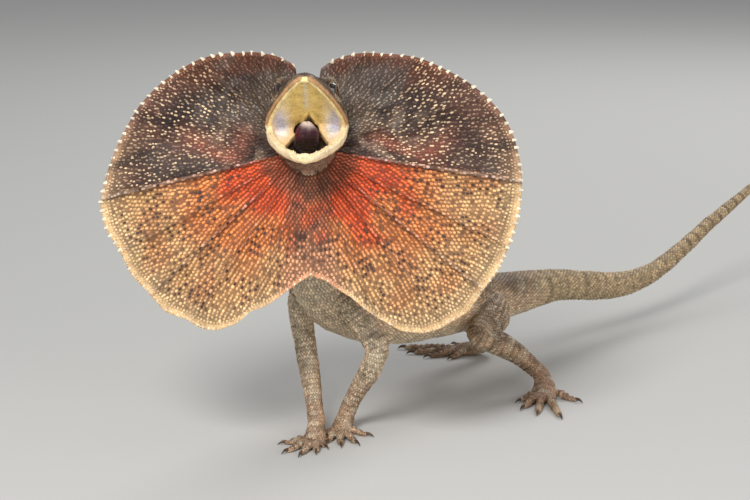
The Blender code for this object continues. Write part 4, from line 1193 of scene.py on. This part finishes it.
def frill_frames(degrees, share, face):
    """Points on the sheet with the normal and the way out to the rim."""
    here = frill_point(degrees, share, face, frill_relief(degrees, share, face))
    out = frill_point(degrees, share + 0.01, face, frill_relief(degrees, share + 0.01, face)) - here
    round_ = frill_point(degrees + 0.3, share, face, frill_relief(degrees + 0.3, share, face)) - here
    normal = np.cross(round_, out)
    normal /= np.linalg.norm(normal, axis=1)[:, None]
    forward = np.array([0, -math.cos(FRILL_LEAN), math.sin(FRILL_LEAN)])
    normal *= np.sign(normal @ forward * face)[:, None]
    return here, normal, out / np.linalg.norm(out, axis=1)[:, None]


# %% Dots and spots of the frill
def lower_scale_tint(roots, colours, spot, chance, share, reach):
    """Dark spots on some of the places of the lattice, and a few stray ones."""
    stray = (spot == 0) * (chance < 0.11 + 0.1 * waves(roots, 14, 63))
    spotted = np.maximum(spot * (chance < 0.74), stray) * step(40, 54, reach + 12 * waves(roots, 20, 62))
    spotted *= step(0.955, 0.9, share) * (0.75 + 0.25 * waves(roots, 9, 64))
    return blend_to(colours, DARK_SPOT, 1.2 * spotted)


def upper_scale_dots(roots, chance, share, away, strength):
    """How much each scale of the upper part is a pale dot."""
    field = np.clip(1.2 * (0.5 + 0.5 * waves(roots, 26, 61) + 0.35 * waves(roots, 7, 65)), 0.06, 1)
    dots = (chance < 0.58) * step(0.22, 0.4, share) * field * strength
    rim_dots = 0.45 * step(0.8, 0.95, share) * (chance < 0.7)
    return np.maximum(dots * step(140, 112, away), rim_dots * step(140, 100, away))


def frill_coat(name, rows, side):
    degrees, share, pitch, rim, spot = rows.T
    dice = np.random.default_rng(SEED + (side > 0))
    upper = (np.abs(degrees) > upper_edge(degrees)).astype(float)
    reach = FRILL_ROOT + (frill_reach(degrees) - FRILL_ROOT) * share
    loose = (0.06 + 0.17 * upper) * (1 - 0.8 * rim) * pitch
    degrees = degrees + dice.normal(0, 1, len(rows)) * np.degrees(loose / reach)
    share = np.clip(share + dice.normal(0, 0.8, len(rows)) * loose / 110, 0, 0.985)
    face = np.full(len(rows), side)
    roots, normals, heads = frill_frames(degrees, share, face)
    colours = frill_tint(roots, np.column_stack([degrees, share, face]))
    vary = dice.uniform(0.72, 1.2, len(rows))[:, None]
    chance = dice.random(len(rows))
    low = lower_scale_tint(roots, colours * vary, spot, chance, share, reach)
    strength = dice.uniform(0.45, 1.1, len(rows))
    dots = upper_scale_dots(roots, chance, share, np.abs(degrees), strength)
    high = blend_to(colours * vary, PALE_DOT * vary, dots)
    shown = low * (1 - upper[:, None]) + high * upper[:, None]
    if side < 0:
        shown = colours * vary * 1.1
    lean = 1 - 0.2 * upper
    wild = dice.uniform(0.85, 1.15, len(rows))
    wild = wild * (1 + 0.25 * upper * dice.normal(0, 1, len(rows)).clip(-1, 1))
    outer = step(0.55, 0.8, share) * (1 - upper)
    length = pitch * wild * (0.98 - 0.1 * outer) * (1 - 0.1 * rim) * lean
    width = pitch * (0.84 - 0.03 * outer) * lean * (1 - 0.2 * upper)
    spoke = np.column_stack([np.sin(np.radians(degrees)), -np.cos(np.radians(degrees))])
    flat = 0.5 + 0.0036 * reach[:, None] * spoke
    return coat(name, roots, normals, heads, length, width, 0.3, np.clip(shown, 0, 1), flat)


frill_rows = frill_lattice()
frill_scales = [
    frill_coat("scales_frill_front", frill_rows, 1.0),
    frill_coat("scales_frill_back", frill_rows, -1.0),
]


# %% [markdown]
# Along the rim stand stiff pointed scales, the longest on the upper sides. Each is a
# cone of six sides bent a little, cream at its tip, with its root in the membrane. The
# same function makes the teeth and the claws, which are cones too, in other sizes.

# %% Pointed edge scales
def cones(name, roots, tips, normals, width, thick, colours, bend=0.12, sides=6, rings=4, taper=0.85):
    """Bent cones from roots to tips as one mesh."""
    count = len(roots)
    run = tips - roots
    across = np.cross(run, normals)
    across /= np.linalg.norm(across, axis=1)[:, None]
    other = np.cross(across, run)
    other /= np.linalg.norm(other, axis=1)[:, None]
    points = []
    for r in range(rings):
        part = r / rings
        arch = bend * np.linalg.norm(run, axis=1) * math.sin(math.pi * part)
        centre = roots + run * part + other * arch[:, None]
        slim = (1 - part) ** taper
        for s in range(sides):
            turn = 2 * math.pi * s / sides
            points.append(centre + across * (width * slim * math.cos(turn) / 2)[:, None]
                          + other * (thick * slim * math.sin(turn) / 2)[:, None])
    points.append(tips)
    points = np.stack(points, axis=1)
    faces = []
    for r in range(rings - 1):
        for s in range(sides):
            a, b = r * sides + s, r * sides + (s + 1) % sides
            faces.append((a, b, b + sides))
            faces.append((a, b + sides, a + sides))
    for s in range(sides):
        faces.append(((rings - 1) * sides + s, (rings - 1) * sides + (s + 1) % sides, rings * sides))
    size = points.shape[1]
    faces = (np.array(faces)[None] + size * np.arange(count)[:, None, None]).reshape(-1, 3)
    made = mesh_object(name, points.reshape(-1, 3), faces)
    write_colour(made.data, "tint", np.repeat(colours, size, axis=0))
    write_vector(made.data, "root", np.repeat(roots, size, axis=0) * MM)
    tip_share = np.concatenate([np.repeat(np.arange(rings) / rings, sides), [1.0]])
    write_value(made.data, "keel", np.tile(tip_share, count))
    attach(made, "root")
    print(name, count, "cones,", len(faces), "faces")
    return made


# %% Edge scales along the rim
EDGE_LENGTH = 1.9
EDGE_SINK = 1.6


def edge_scales():
    dice = np.random.default_rng(SEED + 7)
    degrees, lengths = [], []
    at = FRILL_ENDS[0] + 1.5
    while at < FRILL_ENDS[1] - 1.5:
        away = abs(at)
        size = 1.0 if away > 66 else 0.3 + 0.7 * float(step(48, 66, away))
        degrees.append(at)
        lengths.append(EDGE_LENGTH * size * dice.uniform(0.7, 1.25))
        spacing = 4.9 if away > 60 else 3.4
        at += math.degrees(spacing * dice.uniform(0.85, 1.15) / float(frill_reach(np.array([at]))[0]))
    degrees, lengths = np.array(degrees), np.array(lengths)
    count = len(degrees)
    face = np.zeros(count)
    rim = frill_point(degrees, np.full(count, 1.0), face)
    inner = frill_point(degrees, np.full(count, 0.97), face)
    out = (rim - inner) / np.linalg.norm(rim - inner, axis=1)[:, None]
    forward = np.tile([0, -math.cos(FRILL_LEAN), math.sin(FRILL_LEAN)], (count, 1))
    tips = rim + out * (lengths * 0.8)[:, None] + forward * dice.normal(0, 0.25, count)[:, None]
    colours = np.tile(tint(236, 222, 192), (count, 1)) * dice.uniform(0.8, 1.05, count)[:, None]
    width, thick = 2.5 * lengths**0.4, np.full(count, 1.3)
    return cones("edge_scales", rim - out * EDGE_SINK, tips, forward, width, thick, colours, taper=0.8)


edge_piece = edge_scales()

# %% [markdown]
# The eyes are globes set deep under the brows. Each has a dark brown iris round a black
# pupil, which looks out to the side and a little forward, under a clear wet surface. The
# angle of each point from the way it looks is stored, and a ramp turns it into rings of
# colour. The globe swells where it looks, and its hidden back is drawn in.

# %% Eyes
def eye(name, side):
    data = bmesh.new()
    bmesh.ops.create_uvsphere(data, u_segments=40, v_segments=24, radius=EYE_RADIUS * MM)
    place = head_place(UPPER_PITCH, EYE[0] + 0.6, side * (EYE[1] + 0.6), EYE[2] - 0.4)
    middle = (place + SHIFT) * MM
    gaze = Vector((side, -0.30, 0.10)).normalized()
    for vert in data.verts:
        facing = vert.co.normalized().dot(gaze)
        swell = 0.05 * float(step(0.72, 0.95, facing))
        vert.co *= 1.0 + swell - 0.22 * float(step(0.4, -0.2, facing))
        vert.co += Vector(middle)
    mesh = bpy.data.meshes.new(name)
    data.to_mesh(mesh)
    data.free()
    mesh.shade_smooth()
    made = bpy.data.objects.new(name, mesh)
    bpy.context.scene.collection.objects.link(made)
    away = np.array([vert.co for vert in mesh.vertices]) - middle
    away /= np.linalg.norm(away, axis=1)[:, None]
    write_value(mesh, "gaze", np.degrees(np.arccos(np.clip(away @ np.array(gaze), -1, 1))) / 90)
    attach(made, "root")
    return made


eyes = [eye("eye_globe_right", -1), eye("eye_globe_left", 1)]
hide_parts("eye_right")
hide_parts("eye_left")


# %% [markdown]
# The tongue is thick and lies at the back of the lower jaw as a mound, dark below with
# painted shade and pale at its top with painted light. It is made from the solid by a fine
# remesh, then given small bumps and a shallow middle groove, and it shares the throat's
# tints, so no edge shows between the two.

# %% Tongue
def make_tongue():
    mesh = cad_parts["tongue"].data.copy()
    made = bpy.data.objects.new("tongue_flesh", mesh)
    bpy.context.scene.collection.objects.link(made)
    remesh = made.modifiers.new("remesh", "REMESH")
    remesh.mode = "VOXEL"
    remesh.voxel_size = 0.45 * MM
    smooth = made.modifiers.new("smooth", "SMOOTH")
    smooth.iterations = 8
    graph = bpy.context.evaluated_depsgraph_get()
    fine = bpy.data.meshes.new_from_object(made.evaluated_get(graph))
    made.modifiers.clear()
    made.data = fine
    points, normals = read_points(fine), read_normals(fine)
    along, out, up = head_read(LOWER_PITCH, points)
    lift = 0.22 * waves(points, 1.6, 71) + 0.3 * waves(points, 5, 72)
    lift -= 0.5 * hump(JAW_JOINT[0], 1.0, points[:, 0])
    points += normals * lift[:, None]
    mound = 1.4 + 1.8 * hump(0, 4.0, out)
    points[:, 2] += mound * step(17, 6, along) * step(-2, 2, up)
    write_points(fine, points)
    # The tongue takes the throat's tints: painted light on its top, painted shade below.
    colours = gullet_tint(points, np.tile(PURPLE_AND_SHADE, (len(points), 1)), np.ones(len(points)))
    write_colour(fine, "tint", colours)
    fine.materials.clear()
    write_vector(fine, "root", points * MM)
    fine.shade_smooth()
    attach(made, "root")
    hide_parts("tongue")
    return made


tongue = make_tongue()
print("tongue:", len(tongue.data.polygons), "faces")


# %% [markdown]
# Teeth stand in a single close row on the edge of each jaw: small, pointed, a little
# worn. Two longer ones stand at the front. The claws are narrow hooks of dark horn. Both
# are pieces of their own, so that bone and horn can shine while the skin stays dull.

# %% Teeth and claws
TOOTH = 1.3
FRONT_TOOTH = 1.9


def make_teeth():
    dice = np.random.default_rng(SEED + 2)
    roots, tips, widths = [], [], []
    rows = ((SKULL, UPPER_PITCH, 45, 24, -1), (JAW, LOWER_PITCH, 42, 22, 1))
    for table, pitch, last, count, sign in rows:
        for side in (-1, 1):
            for i, along in enumerate(np.linspace(4, last, count)):
                out = side * (jaw_width(table, along) - LIP + 0.15)
                tall = (TOOTH if i < count - 2 else FRONT_TOOTH) * dice.uniform(0.75, 1.1)
                roots.append(head_place(pitch, along, out, -0.6 * sign))
                tips.append(head_place(pitch, along + 0.3, out * 0.985, sign * tall))
                widths.append(1.15 * dice.uniform(0.85, 1.1))
    roots, tips, widths = np.array(roots), np.array(tips), np.array(widths)
    flat = np.tile([0.0, 1.0, 0.2], (len(roots), 1))
    colours = np.tile(tint(232, 222, 190), (len(roots), 1))
    return cones("teeth", roots, tips, flat, widths * 1.2, widths, colours, 0.05)


def make_claws():
    roots, tips, widths = [], [], []
    for digits in DIGITS.values():
        for x, y, heading, length, thick in digits:
            turn = math.radians(heading)
            way = np.array([math.sin(turn), -math.cos(turn), 0])
            root = np.array([x, y, thick * 0.85]) + way * (length - 1.2)
            tip = np.array([x, y, 0.4]) + way * (length + CLAW_LENGTH)
            roots.append(root)
            tips.append(tip)
            widths.append(thick)
    roots, tips, widths = np.array(roots), np.array(tips), np.array(widths)
    colours = np.tile(tint(96, 72, 52), (len(roots), 1))
    above = np.tile([0.0, 0.0, 1.0], (len(roots), 1))
    return cones("claws", roots, tips, above, widths, widths * 1.3, colours, 0.16, 10, 8, 0.62)


teeth = make_teeth()
claws = make_claws()


# %% [markdown]
# Two shader groups do the fine work. One breaks up a tint with soft mottling and small
# flecks; the other makes the relief of the granules that lie between the scales, and the
# mask for the painted shade in the creases between them. As groups they are built once,
# and each material sets their named inputs for itself.

# %% Shader groups
def new_group(name, inputs, outputs):
    group = bpy.data.node_groups.new(name, "ShaderNodeTree")
    for label, kind, value in inputs:
        socket = group.interface.new_socket(label, in_out="INPUT", socket_type=kind)
        if value is not None:
            socket.default_value = value
    for label, kind in outputs:
        group.interface.new_socket(label, in_out="OUTPUT", socket_type=kind)
    return group, group.nodes.new("NodeGroupInput"), group.nodes.new("NodeGroupOutput")


def noise(tree, vector, size, detail=3.0):
    made = tree.nodes.new("ShaderNodeTexNoise")
    made.inputs["Scale"].default_value = size
    made.inputs["Detail"].default_value = detail
    tree.links.new(vector, made.inputs["Vector"])
    return made.outputs["Fac"]


def span(tree, value, low, high, to_low, to_high):
    made = tree.nodes.new("ShaderNodeMapRange")
    for label, number in (("From Min", low), ("From Max", high), ("To Min", to_low), ("To Max", to_high)):
        made.inputs[label].default_value = number
    tree.links.new(value, made.inputs["Value"])
    return made.outputs["Result"]


def maths(tree, operation, first, second):
    made = tree.nodes.new("ShaderNodeMath")
    made.operation = operation
    for i, value in enumerate((first, second)):
        if isinstance(value, (int, float)):
            made.inputs[i].default_value = value
        else:
            tree.links.new(value, made.inputs[i])
    return made.outputs[0]


def mottle_group():
    group, given, result = new_group(
        "Mottled tint",
        [("Tint", "NodeSocketColor", (0.5, 0.5, 0.5, 1)), ("Root", "NodeSocketVector", None),
         ("Amount", "NodeSocketFloat", 0.5), ("Fleck", "NodeSocketFloat", 0.3)],
        [("Color", "NodeSocketColor")],
    )
    broad = span(group, noise(group, given.outputs["Root"], 160), 0.35, 0.65, -0.3, 0.3)
    fine = span(group, noise(group, given.outputs["Root"], 900, 2), 0.35, 0.65, -0.3, 0.3)
    both = maths(group, "ADD", maths(group, "MULTIPLY", broad, given.outputs["Amount"]),
                 maths(group, "MULTIPLY", fine, given.outputs["Fleck"]))
    bright = group.nodes.new("ShaderNodeHueSaturation")
    group.links.new(given.outputs["Tint"], bright.inputs["Color"])
    group.links.new(maths(group, "ADD", both, 1.0), bright.inputs["Value"])
    group.links.new(bright.outputs["Color"], result.inputs["Color"])
    return group


def grain_group():
    group, given, result = new_group(
        "Granule relief",
        [("Root", "NodeSocketVector", None), ("Density", "NodeSocketFloat", 1100.0)],
        [("Height", "NodeSocketFloat"), ("Crease shade", "NodeSocketFloat")],
    )
    cells = group.nodes.new("ShaderNodeTexVoronoi")
    cells.feature = "F1"
    group.links.new(given.outputs["Root"], cells.inputs["Vector"])
    group.links.new(given.outputs["Density"], cells.inputs["Scale"])
    round_ = span(group, cells.outputs["Distance"], 0.0, 0.75, 1.0, 0.0)
    wrinkle = noise(group, given.outputs["Root"], 420, 4)
    height = maths(group, "ADD", round_, maths(group, "MULTIPLY", wrinkle, 0.8))
    group.links.new(height, result.inputs["Height"])
    # The second output marks the creases between the granules, for painted shade.
    group.links.new(span(group, cells.outputs["Distance"], 0.45, 0.8, 0.0, 1.0), result.inputs["Crease shade"])
    return group


MOTTLE = mottle_group()
GRAIN = grain_group()

# %% [markdown]
# Materials: the skin is dull and granular, wet in the mouth; scales have a slight
# shine on the keel; horn and teeth are smooth; the eye is dark under a clear coat. All
# take their tint from the points of the mesh, so one material serves the whole coat.

# %% Materials
def material(name):
    made = bpy.data.materials.new(name)
    made.use_nodes = True
    return made, made.node_tree, made.node_tree.nodes["Principled BSDF"]


def attribute(tree, name):
    made = tree.nodes.new("ShaderNodeAttribute")
    made.attribute_name = name
    return made


def group_node(tree, group, **values):
    made = tree.nodes.new("ShaderNodeGroup")
    made.node_tree = group
    for label, value in values.items():
        if isinstance(value, (int, float)):
            made.inputs[label].default_value = value
        else:
            tree.links.new(value, made.inputs[label])
    return made


def bump(tree, shader, height, strength, distance):
    made = tree.nodes.new("ShaderNodeBump")
    made.inputs["Strength"].default_value = strength
    made.inputs["Distance"].default_value = distance
    tree.links.new(height, made.inputs["Height"])
    tree.links.new(made.outputs["Normal"], shader.inputs["Normal"])


def darker(tree, colour, share, target):
    """A colour that goes over to another one by a share."""
    made = tree.nodes.new("ShaderNodeMix")
    made.data_type = "RGBA"
    made.inputs[7].default_value = (*target, 1)
    tree.links.new(share, made.inputs[0])
    tree.links.new(colour, made.inputs[6])
    return made.outputs[2]


def mottled_tint(tree, amount, fleck):
    """The tint of the mesh, broken up by the mottling group, and the root it is read at."""
    root = attribute(tree, "root").outputs["Vector"]
    given = attribute(tree, "tint").outputs["Color"]
    mottle = group_node(tree, MOTTLE, Tint=given, Root=root, Amount=amount, Fleck=fleck)
    return root, mottle.outputs["Color"]


# %% Materials of the skin and scales
def skin_material():
    made, tree, shader = material("lizard_skin")
    shader.inputs["Specular IOR Level"].default_value = 0.3
    root, colour = mottled_tint(tree, 0.5, 0.5)
    grain = group_node(tree, GRAIN, Root=root, Density=1150.0)
    wet = attribute(tree, "wet").outputs["Fac"]
    # The creases between the granules are darkened as painted shade, hardly at all in the mouth.
    crease = maths(tree, "MULTIPLY", grain.outputs["Crease shade"], span(tree, wet, 0, 0.5, 0.45, 0.03))
    shaded = darker(tree, colour, crease, (0.05, 0.03, 0.02))
    tree.links.new(shaded, shader.inputs["Base Color"])
    tree.links.new(span(tree, wet, 0, 1, 0.62, 0.34), shader.inputs["Roughness"])
    height = maths(tree, "MULTIPLY", grain.outputs["Height"], span(tree, wet, 0, 0.5, 1.0, 0.2))
    bump(tree, shader, height, 0.6, 0.00035)
    return made


def scale_material():
    made, tree, shader = material("lizard_scales")
    _, colour = mottled_tint(tree, 0.6, 0.5)
    keel = attribute(tree, "keel").outputs["Fac"]
    # The low rim of each scale, where it meets the skin, is darkened as painted shade.
    low = maths(tree, "MULTIPLY", span(tree, keel, 0, 0.6, 1.0, 0.0), 0.6)
    shaded = darker(tree, colour, low, (0.04, 0.025, 0.015))
    tree.links.new(shaded, shader.inputs["Base Color"])
    tree.links.new(span(tree, keel, 0, 1, 0.66, 0.48), shader.inputs["Roughness"])
    return made


# %% Materials of the tongue, horn and eyes
def flesh_material():
    made, tree, shader = material("tongue_wet")
    root, colour = mottled_tint(tree, 0.4, 0.6)
    tree.links.new(colour, shader.inputs["Base Color"])
    shader.inputs["Roughness"].default_value = 0.45
    shader.inputs["Specular IOR Level"].default_value = 0.2
    grain = group_node(tree, GRAIN, Root=root, Density=1500.0)
    bump(tree, shader, grain.outputs["Height"], 0.2, 0.0003)
    return made


def horn_material(name, base, tip, roughness):
    made, tree, shader = material(name)
    _, colour = mottled_tint(tree, 0.5, 0.4)
    along = attribute(tree, "keel").outputs["Fac"]
    shaded = darker(tree, colour, span(tree, along, base, 1, 0, 0.8), tip)
    tree.links.new(shaded, shader.inputs["Base Color"])
    shader.inputs["Roughness"].default_value = roughness
    return made


def eye_material():
    made, tree, shader = material("eye_wet")
    ramp = tree.nodes.new("ShaderNodeValToRGB")
    stops = [(0.0, (0.003, 0.003, 0.003)), (0.20, (0.003, 0.003, 0.003)), (0.23, (0.16, 0.09, 0.035)),
             (0.30, (0.07, 0.04, 0.02)), (0.40, (0.02, 0.012, 0.008)), (0.5, (0.006, 0.005, 0.004))]
    while len(ramp.color_ramp.elements) < len(stops):
        ramp.color_ramp.elements.new(0.5)
    for element, (place, colour) in zip(ramp.color_ramp.elements, stops):
        element.position = place
        element.color = (*colour, 1)
    tree.links.new(attribute(tree, "gaze").outputs["Fac"], ramp.inputs["Fac"])
    tree.links.new(ramp.outputs["Color"], shader.inputs["Base Color"])
    shader.inputs["Roughness"].default_value = 0.12
    shader.inputs["Coat Weight"].default_value = 1.0
    return made


# %% Which piece wears which material
skin.data.materials.append(skin_material())
scale_look = scale_material()
for piece in [*body_scales, head_scales, foot_scales, *frill_scales]:
    piece.data.materials.append(scale_look)
edge_piece.data.materials.append(horn_material("edge_horn", 0.2, tuple(tint(244, 236, 214)), 0.45))
teeth.data.materials.append(horn_material("tooth_enamel", 0.3, tuple(tint(244, 240, 224)), 0.3))
claws.data.materials.append(horn_material("claw_horn", 0.1, (0.03, 0.02, 0.015), 0.32))
tongue.data.materials.append(flesh_material())
for globe in eyes:
    globe.data.materials.append(eye_material())

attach(skin, "root")
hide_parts(*FLESH, *FRILLS)


# %% [markdown]
# Camera: in front of the animal and a little above it, with the framing of the picture.
# The floor is plain and pale. The main light is broad and near the camera's side, a weak
# one fills the shadows, and one from behind draws the edge of the tail and the back.

# %% Camera, floor and light
CAMERA_RISE = math.radians(12.0)
CAMERA_REACH = 1.240
CAMERA_TARGET = np.array([37.5, 0.0, 124.7])


def add_camera():
    data = bpy.data.cameras.new("camera")
    data.lens = 100.0
    data.sensor_width = 36.0
    made = bpy.data.objects.new("camera", data)
    target = (CAMERA_TARGET + SHIFT) * MM
    away = np.array([0, -math.cos(CAMERA_RISE), math.sin(CAMERA_RISE)]) * CAMERA_REACH
    made.location = target + away
    made.rotation_euler = (math.pi / 2 - CAMERA_RISE, 0, 0)
    bpy.context.scene.collection.objects.link(made)
    bpy.context.scene.camera = made


def add_floor():
    bpy.ops.mesh.primitive_plane_add(size=40, location=(0, 0, 0))
    floor = bpy.context.object
    floor.name = "floor"
    made, _, shader = material("floor_pale")
    shader.inputs["Base Color"].default_value = (0.62, 0.61, 0.58, 1)
    shader.inputs["Roughness"].default_value = 0.9
    floor.data.materials.append(made)


def add_light(name, place, size, power, aim=(0, -0.15, 0.1)):
    data = bpy.data.lights.new(name, "AREA")
    data.size = size
    data.energy = power
    made = bpy.data.objects.new(name, data)
    made.location = place
    made.rotation_euler = (Vector(aim) - Vector(place)).to_track_quat("-Z", "Y").to_euler()
    bpy.context.scene.collection.objects.link(made)


def add_world():
    world = bpy.data.worlds.new("world")
    world.use_nodes = True
    world.node_tree.nodes["Background"].inputs["Color"].default_value = (0.78, 0.80, 0.84, 1)
    world.node_tree.nodes["Background"].inputs["Strength"].default_value = 0.42
    bpy.context.scene.world = world
    bpy.context.scene.view_settings.view_transform = "Standard"


add_camera()
add_floor()
add_light("key", (-0.65, -1.85, 1.45), 0.7, 34)
add_light("fill", (0.9, -1.6, 0.4), 1.2, 10)
add_light("back", (0.6, 1.4, 1.5), 1.0, 14, (0, 0.1, 0.1))
add_world()
print("camera at", [round(x, 3) for x in bpy.context.scene.camera.location])
